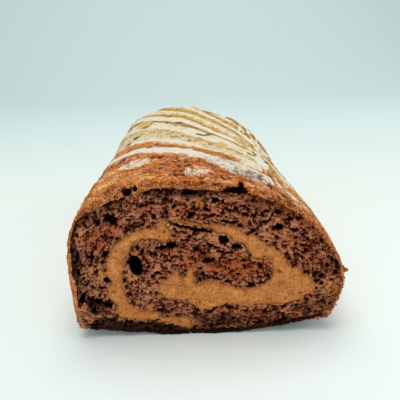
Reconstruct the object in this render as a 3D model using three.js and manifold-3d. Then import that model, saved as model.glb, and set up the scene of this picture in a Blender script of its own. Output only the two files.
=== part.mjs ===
// Half of a filled swiss roll: a chocolate sponge sheet spread with cream and rolled up.
// Millimetres. X runs across the roll, Y along it from the cut end, Z up. It rests on Z = 0.
import * as THREE from "three";
import { mergeVertices } from "three/addons/utils/BufferGeometryUtils.js";
import Module from "manifold-3d";

const wasm = await Module();
wasm.setup();

// ---- Driving dimensions ----
const ROLL_LENGTH = 155;
const CREAM_GAP = 0.3; // clearance between the cream and the sponge round it
const SEAM_WIDTH = 0.5; // slit where the outer end of the sheet meets the underside
const FACET_ALONG = 2.8;
const FACET_ROUND = 3.3;
const FACET_UNDERSIDE = 8;
const CREAM_STEPS = 3; // facets between two points of the cream's route

// The cut end's outline, clockwise from the flat underside: slumped, steep on the left,
// sloping on the right. [x, z]
const OUTLINE = [
  [-4, 0],
  [-15, 0],
  [-22, 1],
  [-31, 2],
  [-39, 2.9],
  [-45.4, 4],
  [-47.9, 6.8],
  [-48.6, 12],
  [-48.9, 19],
  [-48.8, 29.2],
  [-47.8, 39.2],
  [-43.4, 49.2],
  [-37.6, 54.2],
  [-30, 57.6],
  [-19, 59.8],
  [-7, 60.1],
  [6, 58.6],
  [18, 56.1],
  [28.6, 50.8],
  [38, 43.4],
  [44.6, 35.2],
  [48.2, 27.8],
  [49.3, 20.7],
  [48, 13.8],
  [46.2, 9.2],
  [44.8, 6],
  [41, 5.2],
  [35, 4],
  [26, 2.3],
  [17, 0.9],
  [8, 0],
];
const OUTLINE_MIDDLE = 30; // height that parts the outline's upper half from its lower half

// The cream's route from the sheet's outer end on the underside to the core, with its
// thickness on the route's outer and inner side. [x, z, outer, inner]
const CREAM_ROUTE = [
  [-7.6, 5.4, 1.7, 1.7],
  [-14, 6.4, 1.8, 1.8],
  [-21, 8.1, 1.6, 1.6],
  [-27, 9.8, 2, 2],
  [-31, 14.2, 2.6, 2.5],
  [-32.3, 21.2, 2.6, 2.5],
  [-32.2, 28.2, 3, 2.9],
  [-30.4, 35.2, 3.6, 3.4],
  [-25.2, 41.2, 3.2, 3.3],
  [-18, 44.8, 1.9, 2.4],
  [-10, 46.2, 0.9, 1],
  [-2, 45.5, 1, 1],
  [5, 43.8, 1.4, 1.4],
  [12, 41, 2.1, 2.1],
  [19, 36.1, 2.8, 2.8],
  [25, 30.1, 4, 3.9],
  [28.8, 24, 6.4, 4.4],
  [27.2, 18.6, 7.9, 4.2],
  [18, 15.9, 4, 3.7],
  [8, 16.5, 4.1, 4.1],
  [0, 17.2, 5.6, 4.9],
  [-7, 19.2, 6, 5.8],
  [-12.6, 20.8, 4.8, 4.8],
];
const OUTER = 2;
const INNER = 3;

// Piped stripes run slantwise over the roll, with a groove between each two. Unrolled, a groove
// is the straight line y = crossing - slant * round, where y starts at the cut end and round is
// the way from the crest. [crossing, depth]
const GROOVES = [
  [25, 0.7],
  [46, 1.2],
  [65, 0.9],
  [83, 1],
  [97, 0.9],
  [112, 1.3],
  [127, 0.9],
  [142, 1.2],
  [157, 0.9],
  [173, 1],
  [189, 1],
  [205, 1],
];
const GROOVE_WIDTH = 2.6;
const SLANT_NEAR = 0.48;
const SLANT_FAR = 1;
const FAN = [30, 110]; // crossings between which the slant grows from near to far
const FAN_ROUNDS = 12; // rounds of the search for the line that a point lies on
const STRIPE_EDGE = [58, 80]; // way from the crest over which the grooves die out

// Slow swells of the surface: [height, waves per mm round, waves per mm along, phase]
const SWELLS = [
  [0.3, 0.021, 0.009, 0.4],
  [0.22, 0.013, 0.024, 2.1],
  [0.16, 0.045, 0.017, 4.4],
  [0.12, 0.037, 0.052, 1.3],
];
const TRIMMED_END = 14; // the swells grow over this length behind the cut end
const UNDERSIDE = 6; // height over which the underside's relief fades in

// The roll is slimmer towards its far end, from the crest over the right side.
const SLIMMER = 3;
const SLIMMER_ROUND = [-12, 20]; // way from the crest over which it sets in
const SLIMMER_BACK = [20, 110]; // way from the cut end over which it sets in

// Hollows torn open in the cut end. [x, z, width, height, depth, turn in degrees]
const HOLLOWS = [
  [-24.8, 30, 4.6, 8.2, 7, -8],
  [10.4, 57.1, 7.4, 2.6, 5, 6],
  [12.4, 58.2, 3.4, 3.8, 5, 0],
  [-5.4, 56.8, 5.4, 1.6, 3, 0],
  [-25.8, 57.3, 2.4, 2.4, 3, 0],
  [-32, 48.4, 4.8, 3.4, 3.5, 0],
  [-4, 44.2, 14, 1.3, 5, -13],
  [-13.6, 37.2, 7, 2.6, 3.5, 4],
  [6, 39, 3.9, 3.3, 4, -20],
  [10.6, 36.3, 3.3, 1.9, 3, -20],
  [24.2, 43.2, 3.4, 2.9, 4, 10],
  [2.8, 54, 2.8, 2.1, 3, -20],
  [-23, 45.6, 4.2, 1.5, 3, 22],
  [-36.6, 14.4, 6.4, 2.4, 3.5, -24],
  [-45.4, 16.4, 2.4, 4.4, 3.5, -24],
  [-45.2, 8.4, 2.8, 3, 2.5, 0],
  [15.6, 20.5, 4.4, 1.6, 2.5, 8],
  [34.6, 25.4, 3.2, 1.3, 2.5, -6],
  [-0.4, 31.4, 3, 2, 3, 20],
];
const HOLLOW_SIDES = 9;
const HOLLOW_RINGS = 6;

const HALF = ROLL_LENGTH / 2;
const CUT_PAST_END = 5; // how far a cutting bar reaches past the roll's ends
const { clamp, degToRad, lerp, smoothstep } = THREE.MathUtils;

// ---- Closed meshes as manifold-3d solids, and back ----
function solidOf(vertProperties, triVerts) {
  return new wasm.Manifold(new wasm.Mesh({ numProp: 3, vertProperties, triVerts }));
}

function geometryOf(solid) {
  const { vertProperties, triVerts } = solid.getMesh();
  return new THREE.BufferGeometry()
    .setAttribute("position", new THREE.BufferAttribute(vertProperties, 3))
    .setIndex(new THREE.BufferAttribute(triVerts, 1));
}

// A closed tube through rings of [x, y, z], all with the same number of points and
// counterclockwise as seen from the low end, with both ends capped.
function loft(rings) {
  const n = rings[0].length;
  const last = (rings.length - 1) * n;
  const faces = [];
  for (let start = 0; start < last; start += n) {
    for (let i = 0; i < n; i++) {
      const a = start + i;
      const b = start + ((i + 1) % n);
      faces.push([a, b + n, b], [a, a + n, b + n]);
    }
  }
  const end = rings[0].map(([x, , z]) => new THREE.Vector2(x, z));
  for (const [a, b, c] of THREE.ShapeUtils.triangulateShape(end, [])) {
    faces.push([a, b, c], [last + a, last + c, last + b]);
  }
  return solidOf(new Float32Array(rings.flat(2)), new Uint32Array(faces.flat()));
}

// A straight bar along the roll with the section given as [x, z].
function bar(section, pastEnd) {
  const ring = (y) => section.map(([x, z]) => [x, y, z]);
  return loft([ring(-HALF - pastEnd), ring(HALF + pastEnd)]);
}

// ---- The roll's outer form ----
const outlineCurve = new THREE.CatmullRomCurve3(
  OUTLINE.map(([x, z]) => new THREE.Vector3(x, 0, z)),
  true,
  "centripetal",
);
outlineCurve.arcLengthDivisions = 800;
const PERIMETER = outlineCurve.getLength();

// Points round the outline, counterclockwise from below, each with the outward direction and
// the way round from the crest, positive to the right.
function outlinePoints() {
  const points = [];
  let way = PERIMETER;
  while (way > FACET_ROUND / 2) {
    const at = outlineCurve.getPointAt(way / PERIMETER);
    const along = outlineCurve.getTangentAt(way / PERIMETER);
    const z = Math.max(0, at.z);
    points.push({ x: at.x, z, outX: -along.z, outZ: along.x, way });
    way -= z > 0 ? FACET_ROUND : FACET_UNDERSIDE;
  }
  const above = points.filter(({ z }) => z > OUTLINE_MIDDLE);
  const crest = above.reduce((best, p) => (Math.abs(p.x) < Math.abs(best.x) ? p : best));
  return points.map((p) => ({ ...p, round: p.way - crest.way }));
}

// The crossing of the slanting line that a point of the unrolled sheet lies on.
function crossingAt(back, round) {
  const reach = clamp(round, -STRIPE_EDGE[1], STRIPE_EDGE[1]);
  let crossing = back;
  for (let i = 0; i < FAN_ROUNDS; i++) {
    const far = smoothstep(crossing, FAN[0], FAN[1]);
    crossing = back + reach * lerp(SLANT_NEAR, SLANT_FAR, far);
  }
  return crossing;
}

// How far the surface stands out of the outline, at a way back from the cut end.
function relief(round, back, z) {
  const crossing = crossingAt(back, round);
  const striped = 1 - smoothstep(Math.abs(round), STRIPE_EDGE[0], STRIPE_EDGE[1]);
  const swelling = smoothstep(back, 0, TRIMMED_END);
  const right = smoothstep(round, ...SLIMMER_ROUND);
  let out = -SLIMMER * right * smoothstep(back, ...SLIMMER_BACK);
  for (const [at, depth] of GROOVES) {
    out -= striped * depth * Math.exp(-(((crossing - at) / GROOVE_WIDTH) ** 2));
  }
  for (const [height, wavesRound, wavesAlong, phase] of SWELLS) {
    const turn = 2 * Math.PI * (wavesRound * round + wavesAlong * back) + phase;
    out += swelling * height * Math.sin(turn);
  }
  return out * smoothstep(z, 0, UNDERSIDE);
}

function rollSolid() {
  const outline = outlinePoints();
  const stations = Math.round(ROLL_LENGTH / FACET_ALONG);
  const rings = [];
  for (let j = 0; j <= stations; j++) {
    const back = (ROLL_LENGTH * j) / stations;
    const ring = outline.map(({ x, z, outX, outZ, round }) => {
      const out = relief(round, back, z);
      return [x + out * outX, back - HALF, Math.max(0, z + out * outZ)];
    });
    rings.push(ring);
  }
  return loft(rings);
}

// ---- The cream's section: a ribbon of changing thickness along its route ----
const routeCurve = new THREE.CatmullRomCurve3(
  CREAM_ROUTE.map(([x, z]) => new THREE.Vector3(x, 0, z)),
  false,
  "centripetal",
);
const ROUTE_SPANS = CREAM_ROUTE.length - 1;

// The thickness on one side of the route, at t from 0 at the tail to 1 at the core.
function creamSide(t, side) {
  const span = Math.min(Math.floor(t * ROUTE_SPANS), ROUTE_SPANS - 1);
  return lerp(CREAM_ROUTE[span][side], CREAM_ROUTE[span + 1][side], t * ROUTE_SPANS - span);
}

// A point off the route, so far to its outer side and so far ahead.
function offRoute(t, outward, ahead) {
  const at = routeCurve.getPoint(t);
  const along = routeCurve.getTangent(t);
  const x = at.x - outward * along.z + ahead * along.x;
  const z = at.z + outward * along.x + ahead * along.z;
  return [x, z];
}

// Three points round the ribbon's end at t, from its side at the turn given.
function roundedEnd(t, turn, grow) {
  const radius = creamSide(t, OUTER) + grow;
  return [1, 2, 3].map((k) => {
    const angle = turn + (k * Math.PI) / 4;
    return offRoute(t, -radius * Math.cos(angle), radius * Math.sin(angle));
  });
}

// The ribbon's outline, grown by a clearance on every side.
function creamSection(grow) {
  const steps = ROUTE_SPANS * CREAM_STEPS;
  const outer = [];
  const inner = [];
  for (let i = 0; i <= steps; i++) {
    const t = i / steps;
    outer.unshift(offRoute(t, creamSide(t, OUTER) + grow, 0));
    inner.push(offRoute(t, -creamSide(t, INNER) - grow, 0));
  }
  return [...inner, ...roundedEnd(1, 0, grow), ...outer, ...roundedEnd(0, Math.PI, grow)];
}

// ---- The sponge: the roll less the cream's channel, the seam and the torn hollows ----

// The slit from the cream's tail down through the underside.
function seamSection() {
  const [x, top, outer] = CREAM_ROUTE[0];
  const left = x + outer / 2;
  const right = left + SEAM_WIDTH;
  return [
    [left, -1],
    [right, -1],
    [right, top],
    [left, top],
  ];
}

function hollowSolid([x, z, width, height, depth, turn]) {
  const ball = new THREE.SphereGeometry(1, HOLLOW_SIDES, HOLLOW_RINGS);
  ball.scale(width / 2, depth, height / 2);
  ball.rotateY(-degToRad(turn));
  ball.translate(x, -HALF, z);
  ball.deleteAttribute("normal");
  ball.deleteAttribute("uv");
  const closed = mergeVertices(ball);
  return solidOf(closed.getAttribute("position").array, new Uint32Array(closed.index.array));
}

function spongeSolid() {
  const cuts = [
    bar(creamSection(CREAM_GAP), CUT_PAST_END),
    bar(seamSection(), CUT_PAST_END),
    ...HOLLOWS.map(hollowSolid),
  ];
  return cuts.reduce((left, cut) => left.subtract(cut), rollSolid());
}

// ---- The object ----
function piece(name, solid, look) {
  const mesh = new THREE.Mesh(geometryOf(solid), new THREE.MeshStandardMaterial(look));
  mesh.name = name;
  return mesh;
}

const part = new THREE.Group();
part.add(piece("sponge", spongeSolid(), { color: 0x6a3f2c, roughness: 0.95, metalness: 0 }));
part.add(piece("cream", bar(creamSection(0), 0), { color: 0xb57a42, roughness: 0.6, metalness: 0 }));

export default part;
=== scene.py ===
from math import atan2, cos, pi, radians, sin

import bpy
import numpy as np
from mathutils import Matrix, Vector


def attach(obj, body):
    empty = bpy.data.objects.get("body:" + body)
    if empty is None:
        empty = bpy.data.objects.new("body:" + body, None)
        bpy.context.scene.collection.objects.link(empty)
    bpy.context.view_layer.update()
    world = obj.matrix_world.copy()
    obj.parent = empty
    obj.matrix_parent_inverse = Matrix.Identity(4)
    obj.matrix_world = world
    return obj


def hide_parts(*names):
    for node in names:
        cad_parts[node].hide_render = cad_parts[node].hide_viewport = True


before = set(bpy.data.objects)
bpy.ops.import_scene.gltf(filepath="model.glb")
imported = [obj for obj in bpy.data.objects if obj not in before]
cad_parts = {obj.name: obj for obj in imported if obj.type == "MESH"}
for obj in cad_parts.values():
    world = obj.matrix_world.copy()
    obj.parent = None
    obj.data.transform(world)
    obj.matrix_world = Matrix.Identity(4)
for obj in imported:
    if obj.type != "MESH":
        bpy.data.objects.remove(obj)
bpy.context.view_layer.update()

# A cut length of chocolate swiss roll: a thin sponge sheet with a browned crust, spread with
# brown cream, rolled up, laid on its seam, dusted with icing sugar and cut across.


# ---- The crust ----
# The browned outside of the sponge sheet. Batter was piped on it in slanting stripes that baked
# golden, with icing sugar sieved over them when it had cooled. It is the sheet's own skin, one to
# three mm thick, rolled round the cream, and it fills the roll behind the torn crumb of both ends.

MM = 0.001
ROLL_LENGTH = 155
HALF = ROLL_LENGTH / 2

# The roll's section, slumped under its own weight, clockwise from below. [x, z] in mm
OUTLINE = [
    (-4, 0), (-15, 0), (-22, 1), (-31, 2), (-39, 2.9), (-45.4, 4), (-47.9, 6.8), (-48.6, 12),
    (-48.9, 19), (-48.8, 29.2), (-47.8, 39.2), (-43.4, 49.2), (-37.6, 54.2), (-30, 57.6), (-19, 59.8),
    (-7, 60.1), (6, 58.6), (18, 56.1), (28.6, 50.8), (38, 43.4), (44.6, 35.2), (48.2, 27.8),
    (49.3, 20.7), (48, 13.8), (46.2, 9.2), (44.8, 6), (41, 5.2), (35, 4), (26, 2.3), (17, 0.9), (8, 0),
]

# The middle of the cream from its tail under the roll to the lump in the core.
# [x, z, thickness to the outer side, thickness to the inner side] in mm
CREAM_ROUTE = [
    (-7.6, 5.4, 1.7, 1.7), (-14, 6.4, 1.8, 1.8), (-21, 8.1, 1.6, 1.6), (-27, 9.8, 2, 2),
    (-31, 14.2, 2.6, 2.5), (-32.3, 21.2, 2.6, 2.5), (-32.2, 28.2, 3, 2.9), (-30.4, 35.2, 3.6, 3.4),
    (-25.2, 41.2, 3.2, 3.3), (-18, 44.8, 1.9, 2.4), (-10, 46.2, 0.9, 1), (-2, 45.5, 1, 1),
    (5, 43.8, 1.4, 1.4), (12, 41, 2.1, 2.1), (19, 36.1, 2.8, 2.8), (25, 30.1, 4, 3.9),
    (28.8, 24, 6.4, 4.4), (27.2, 18.6, 7.9, 4.2), (18, 15.9, 4, 3.7), (8, 16.5, 4.1, 4.1),
    (0, 17.2, 5.6, 4.9), (-7, 19.2, 6, 5.8), (-12.6, 20.8, 4.8, 4.8),
]

# Grooves between the piped stripes: [crossing, depth]. Unrolled, a groove is the straight line
# back = crossing - slant * round, where back starts at the cut end and round is the way from the
# crest, positive to the right.
GROOVES = [
    (25, 0.7), (46, 1.2), (65, 0.9), (83, 1), (97, 0.9), (112, 1.3), (127, 0.9), (142, 1.2),
    (157, 0.9), (173, 1), (189, 1), (205, 1),
]
GROOVE_WIDTH = 2.6
SLANT_NEAR = 0.48
SLANT_FAR = 1
FAN = (30, 110)  # crossings over which the near slant turns into the far one
STRIPE_EDGE = (58, 80)  # ways round over which the stripes die out
# Slow swells: [height, waves per mm round, waves per mm along, phase]
SWELLS = [
    (0.3, 0.021, 0.009, 0.4), (0.22, 0.013, 0.024, 2.1), (0.16, 0.045, 0.017, 4.4),
    (0.12, 0.037, 0.052, 1.3),
]
TRIMMED_END = 14  # mm back from the cut over which the swells begin
UNDERSIDE = 6  # height under which all relief dies out
# The roll is slimmer towards its far end, from the crest over the right side.
SLIMMER = 3
SLIMMER_ROUND = (-12, 20)
SLIMMER_BACK = (20, 110)

# The crust's broken edge at the cut: [way from the crest, thickness, rounding, tone]
RIM = [
    (-134, 0.8, 0.5, -0.5), (-98, 0.8, 0.5, -0.4), (-93, 1.1, 0.8, 0.3), (-88, 1.8, 1.1, 0.5),
    (-82, 2, 1.2, 0.54), (-76, 2.2, 1.3, 0.56), (-72, 1.7, 1.1, 0.5), (-66, 1.7, 1.1, 0.46),
    (-58, 1.6, 1.1, 0.46), (-52, 1.2, 0.9, 0.34), (-48, 1.2, 0.9, 0.28), (-43, 2, 1.4, 0.28),
    (-37, 2.9, 1.9, 0.38), (-30, 2.8, 1.9, 0.44), (-24, 2.2, 1.6, 0.44), (-18, 2, 1.5, 0.42),
    (-5, 1.9, 1.5, 0.42), (6, 1.7, 1.4, 0.42), (13, 1.2, 1, 0.42), (20, 1.4, 1.2, 0.4),
    (28, 1.3, 1.1, 0.36), (36, 1.1, 0.9, 0.34), (46, 1, 0.8, 0.34), (58, 0.9, 0.7, 0.32),
    (66, 0.8, 0.6, 0.34), (76, 0.8, 0.6, 0.24), (86, 0.7, 0.5, 0), (98, 0.8, 0.5, -0.4),
    (131, 0.8, 0.5, -0.5),
]
RIM_INSIDE = 0.9  # how far the rim reaches in past its thickness
BACK_ROUNDING = 0.5
RECESS = 8  # depth of crumb that the cut ends' own pieces fill
NEAR_LENGTH = 42
NEAR_STEP = 0.38
FAR_STEP = 0.64
BARE = (28, 34)  # crossings over which the bare crust by the cut gives way to the stripes


def ease(value, low, high):
    """0 below low, 1 above high, smooth in between."""
    t = np.clip((value - low) / (high - low), 0, 1)
    return t * t * (3 - 2 * t)


def smooth_line(points, closed, per_span):
    """Points of the centripetal curve through the given ones."""
    p = np.array(points, float)
    if closed:
        p = np.vstack([p[-1:], p, p[:2]])
    else:
        p = np.vstack([2 * p[:1] - p[1:2], p, 2 * p[-1:] - p[-2:-1]])
    gap = np.sqrt(np.linalg.norm(np.diff(p[:, :2], axis=0), axis=1))[:, None]
    before, during, after = gap[:-2], gap[1:-1], gap[2:]
    a, b, c, d = p[:-3], p[1:-2], p[2:-1], p[3:]
    leave = ((b - a) / before - (c - a) / (before + during) + (c - b) / during) * during
    arrive = ((c - b) / during - (d - b) / (during + after) + (d - c) / after) * during
    b, c, leave, arrive = (q[:, None] for q in (b, c, leave, arrive))
    t = (np.arange(per_span) / per_span)[None, :, None]
    bend = 3 * (c - b) - 2 * leave - arrive
    twist = 2 * (b - c) + leave + arrive
    line = (b + leave * t + bend * t**2 + twist * t**3).reshape(-1, p.shape[1])
    return line if closed else np.vstack([line, p[-2:-1]])


def turned(a, b, angle):
    """The place (a, b) in axes turned by the angle."""
    c, s = cos(angle), sin(angle)
    return a * c + b * s, b * c - a * s


def lumps(a, b, size, seed):
    """A smooth random value from -1 to 1 at each place (a, b), in lumps of the given size."""
    cells = 256
    lattice = np.random.default_rng(seed).uniform(-1, 1, (cells, cells))
    a, b = turned(np.asarray(a) / size, np.asarray(b) / size, -2.4 * seed)
    i, j = np.floor(a).astype(int), np.floor(b).astype(int)
    u, v = ease(a - i, 0, 1), ease(b - j, 0, 1)

    def side(k):
        near, far = lattice[(i + k) % cells, j % cells], lattice[(i + k) % cells, (j + 1) % cells]
        return near * (1 - v) + far * v

    return side(0) * (1 - u) + side(1) * u


def layered(a, b, layers, seed=0):
    """Lumps of several sizes added up: [how much, size, seed] of each."""
    return sum(much * lumps(a, b, size, seed + own) for much, size, own in layers)


def bell(value, middle, half_width):
    return np.exp(-(((value - middle) / half_width) ** 2))


def unit(arrows):
    """The arrows at a length of 1."""
    return arrows / np.linalg.norm(arrows, axis=-1, keepdims=True)


def left_of(arrows):
    return np.stack([-arrows[..., 1], arrows[..., 0]], -1)


def way_along(points):
    return np.append(0, np.cumsum(np.linalg.norm(np.diff(points, axis=0), axis=1)))


def crossing_at(back, round_way):
    """The crossing of the slanting line that a point of the unrolled sheet lies on."""
    across = np.clip(round_way, -STRIPE_EDGE[1], STRIPE_EDGE[1])
    crossing = back + 0 * across
    for _ in range(12):
        far = ease(crossing, *FAN)
        crossing = back + across * (SLANT_NEAR + (SLANT_FAR - SLANT_NEAR) * far)
    return crossing


def piped_relief(round_way, back, z):
    """How far the stripes and swells stand out of the outline."""
    crossing = crossing_at(back, round_way)
    striped = 1 - ease(np.abs(round_way), *STRIPE_EDGE)
    out = -SLIMMER * ease(round_way, *SLIMMER_ROUND) * ease(back, *SLIMMER_BACK)
    for at, depth in GROOVES:
        out -= striped * depth * bell(crossing, at, GROOVE_WIDTH)
    for height, waves_round, waves_along, phase in SWELLS:
        turn = 2 * pi * (waves_round * round_way + waves_along * back) + phase
        out += ease(back, 0, TRIMMED_END) * height * np.sin(turn)
    return out * ease(z, 0, UNDERSIDE)


def piece_named(name):
    """The object just added, with its name."""
    piece = bpy.context.object
    piece.name = piece.data.name = name
    return piece


def places(piece):
    """The piece's vertices in mm."""
    co = np.empty(len(piece.data.vertices) * 3)
    piece.data.vertices.foreach_get("co", co)
    return co.reshape(-1, 3) / MM


def place(piece, co):
    piece.data.vertices.foreach_set("co", (co * MM).ravel())
    piece.data.update()


def pick(piece):
    """Selects the piece alone and makes it the active one."""
    bpy.ops.object.select_all(action="DESELECT")
    piece.select_set(True)
    bpy.context.view_layer.objects.active = piece


def bent_grid(name, x, y, z):
    """A sheet of faces bent to the places given in rows and columns."""
    rows, columns = x.shape
    bpy.ops.mesh.primitive_grid_add(x_subdivisions=columns - 1, y_subdivisions=rows - 1, size=2)
    sheet = piece_named(name)
    flat = places(sheet) * MM
    column = np.rint((flat[:, 0] + 1) / 2 * (columns - 1)).astype(int)
    row = np.rint((flat[:, 1] + 1) / 2 * (rows - 1)).astype(int)
    place(sheet, np.stack([x, y, z], -1)[row, column])
    return sheet


def close_open_edges(piece):
    """Merges what meets, fills the holes and turns the faces outwards."""
    pick(piece)
    bpy.ops.object.mode_set(mode="EDIT")
    bpy.ops.mesh.select_all(action="SELECT")
    bpy.ops.mesh.remove_doubles(threshold=1e-7)
    bpy.ops.mesh.select_all(action="SELECT")
    bpy.ops.mesh.fill_holes(sides=0)
    bpy.ops.mesh.select_all(action="SELECT")
    bpy.ops.mesh.normals_make_consistent(inside=False)
    bpy.ops.object.mode_set(mode="OBJECT")


def bar_along(section, low, high, name="tool"):
    """A closed bar along the roll, of the section given as [x, z]."""
    bpy.ops.mesh.primitive_circle_add(vertices=len(section), radius=1, fill_type="NGON")
    bar = piece_named(name)
    place(bar, np.array([(x, low, z) for x, z in section]))
    bpy.ops.object.mode_set(mode="EDIT")
    bpy.ops.mesh.select_all(action="SELECT")
    length = (0, (high - low) * MM, 0)
    bpy.ops.mesh.extrude_region_move(TRANSFORM_OT_translate={"value": length})
    bpy.ops.mesh.select_all(action="SELECT")
    bpy.ops.mesh.normals_make_consistent(inside=False)
    bpy.ops.object.mode_set(mode="OBJECT")
    return bar


def across_cut(front, outside, inside):
    """From where to where along the roll a bar across one of the cuts reaches."""
    return (-HALF - outside, -HALF + inside) if front else (HALF - inside, HALF + outside)


def rough_egg(name, at, radii, turn, rough, seed, finer=4):
    """A rough egg: of air to tear a hollow with, or of crumb."""
    bpy.ops.mesh.primitive_ico_sphere_add(subdivisions=finer, radius=1)
    egg = piece_named(name)
    ball = unit(places(egg))
    x, y, z = ball.T
    stand = 1 + rough * lumps(x + 3 * y, z, 0.45, seed)
    stand += 0.5 * rough * lumps(x - 2 * y, z, 0.2, seed + 1)
    x, y, z = (ball * stand[:, None] * radii).T
    x, z = turned(x, z, -radians(turn))
    place(egg, np.stack([x, y, z], -1) + at)
    return egg


def combine(piece, tool, operation="DIFFERENCE"):
    """Cuts the piece by the tool, joins them or keeps what they share, and removes the tool."""
    pick(piece)
    work = piece.modifiers.new("Work", "BOOLEAN")
    work.solver = "MANIFOLD"
    work.operation = operation
    work.object = tool
    bpy.ops.object.modifier_apply(modifier=work.name)
    bpy.data.objects.remove(tool)


def tear_hollows(piece, hollows, rough, seed):
    """Takes eggs of air out of the piece: [place, half sizes, turn] of each."""
    for number, (at, radii, turn) in enumerate(hollows):
        combine(piece, rough_egg("air", at, radii, turn, rough, seed + number))


def attributes(piece, **named):
    """Writes values at each vertex, for the finish to read by their names."""
    for name, values in named.items():
        layer = piece.data.attributes.new(name, "FLOAT", "POINT")
        layer.data.foreach_set("value", np.asarray(values, np.float32))


def part_within(columns, rows, at_column, at_row, reach):
    """The part of a grid that lies within reach of a place."""
    j = np.searchsorted(columns, (at_column - reach, at_column + reach))
    i = np.searchsorted(rows, (at_row - reach, at_row + reach))
    return np.s_[i[0]:i[1], j[0]:j[1]]


# Lumps that tear the rim's inner line and that stand on its broken edge: [how much, size, seed]
EDGE_TORN_IN = [(1, 3.1, 0), (0.7, 1.3, 1), (0.4, 0.6, 2)]
EDGE_TORN_OUT = [(0.3, 0.8, 23), (0.3, 1.6, 29), (0.3, 3.7, 24)]
EDGE_STEP = 0.4
EDGE_FADES = 0.9  # mm back from the cut over which the tearing dies out

# The outline as a closed ring of points, with the way round and the turn about the middle at each.
MIDDLE = (0, 26)
ring = smooth_line(OUTLINE, True, 40)
ring[:, 1] = np.maximum(ring[:, 1], 0)
ring = np.vstack([ring, ring[:1]])
ring_way = way_along(ring)
PERIMETER = ring_way[-1]
top = np.flatnonzero(ring[:, 1] > 30)
CREST = ring_way[top[np.argmin(np.abs(ring[top, 0]))]]


def turn_about_middle(x, z):
    start = atan2(ring[0, 1] - MIDDLE[1], ring[0, 0] - MIDDLE[0])
    return np.mod(start - np.arctan2(z - MIDDLE[1], x - MIDDLE[0]), 2 * np.pi)


def on_outline(way):
    """x, z and the outward direction at a way round the outline."""
    def at(w):
        w = np.mod(w, PERIMETER)
        return np.stack([np.interp(w, ring_way, ring[:, k]) for k in (0, 1)], -1)
    here = at(way)
    return here, left_of(unit(at(way + 0.4) - at(way - 0.4)))


def way_round(x, z):
    """The way from the crest to the outline's nearest point, and how far inside it a place lies."""
    start = np.interp(turn_about_middle(x, z), turn_about_middle(*ring[:-1].T), range(len(ring) - 1))
    near = np.mod(np.rint(start).astype(int)[:, None] + np.arange(-60, 61, 2), len(ring) - 1)
    away = (ring[near, 0] - x[:, None]) ** 2 + (ring[near, 1] - z[:, None]) ** 2
    nearest = near[np.arange(len(x)), np.argmin(away, 1)]
    ahead = unit(ring[nearest + 1] - ring[nearest])
    gap = np.stack([x, z], -1) - ring[nearest]
    inside = gap[:, 0] * ahead[:, 1] - gap[:, 1] * ahead[:, 0]
    return ring_way[nearest] - CREST + (gap * ahead).sum(1), inside


def rim_at(round_way):
    """Thickness, rounding and tone of the crust's broken edge."""
    table = np.array(RIM)
    return [np.interp(round_way, table[:, 0], table[:, k]) for k in (1, 2, 3)]


def ring_inside(ragged, seed, back, least):
    """The line where the crust's broken edge meets the crumb, torn a little to and fro."""
    way = np.linspace(0, PERIMETER, int(PERIMETER / EDGE_STEP), endpoint=False)
    here, out = on_outline(way)
    shift = rim_at(way - CREST)[0] + ragged * layered(way, 0, EDGE_TORN_IN, seed)
    stand = piped_relief(way - CREST, back, here[:, 1]) - np.maximum(shift, least)
    return here + stand[:, None] * out


def cream_section(grow):
    """The cream's section, grown on every side."""
    middle = smooth_line(CREAM_ROUTE, False, 6)
    spans = np.arange(len(middle)) / 6
    sides = [np.interp(spans, range(len(CREAM_ROUTE)), [p[k] for p in CREAM_ROUTE]) for k in (2, 3)]
    middle = middle[:, :2]
    along = unit(np.gradient(middle, axis=0))
    left = left_of(along)
    outer = middle + left * (sides[0] + grow)[:, None]
    inner = middle - left * (sides[1] + grow)[:, None]

    def cap(end, turn):
        radius = sides[0][end] + grow
        return [
            middle[end] - radius * cos(a) * left[end] + radius * sin(a) * along[end]
            for a in [turn + k * pi / 6 for k in range(1, 6)]
        ]

    return np.vstack([inner, cap(-1, 0), outer[::-1], cap(0, pi)])


# Small pits where bubbles broke the crust: [how many, radius from, to, depth from, to] in mm
CRUST_PITS = [
    (9000, 0.22, 0.4, 0.2, 0.5), (3800, 0.35, 0.7, 0.3, 0.8), (1500, 0.6, 1, 0.4, 1),
    (160, 0.9, 1.7, 0.5, 1.1),
]
# Pits that stand out: [way round, back, radius, depth]
DEEP_PITS = [
    (-15.5, 17.8, 1, 1.2), (-13.6, 16.4, 0.8, 1), (-18.2, 19.4, 0.9, 0.9), (-21.4, 15.2, 0.8, 0.9),
    (-9.2, 8.2, 1.1, 1.1), (-27.5, 1.8, 1.5, 1.8), (-24.6, 3.4, 1, 1.4), (-29.6, 3.8, 0.9, 1.2),
    (-20.5, 2.6, 0.8, 1), (22.2, 21.2, 1.4, 1), (20.6, 18.6, 1, 0.9), (18, 14.9, 1.2, 1),
    (24, 18.4, 1, 0.9), (7.3, 25.4, 0.9, 0.9), (5.2, 11.6, 0.8, 0.8), (0.8, 20.6, 0.8, 0.8),
    (13.2, 34.8, 1.2, 0.8), (16.2, 22.6, 0.7, 0.8), (26.5, 12.2, 1.2, 1), (31, 6.4, 1.2, 1.2),
    (-36, 6.2, 1.1, 1), (-33.2, 10.4, 0.8, 0.9), (3.6, 5.6, 0.9, 0.8), (34.5, 14, 0.9, 0.9),
]


# Share of the pits that broke through anywhere and on the bare crust, and about some crossings,
# over the top and on its right side: [crossing, half width, share over the top, on the right]
PITS_ANYWHERE = 0.06
PITS_WHERE_BARE = 0.8
PITTED = [(57, 5, 0.4, 0), (64, 4, 0.24, 0), (31, 6, 0, 0.9)]
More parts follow.
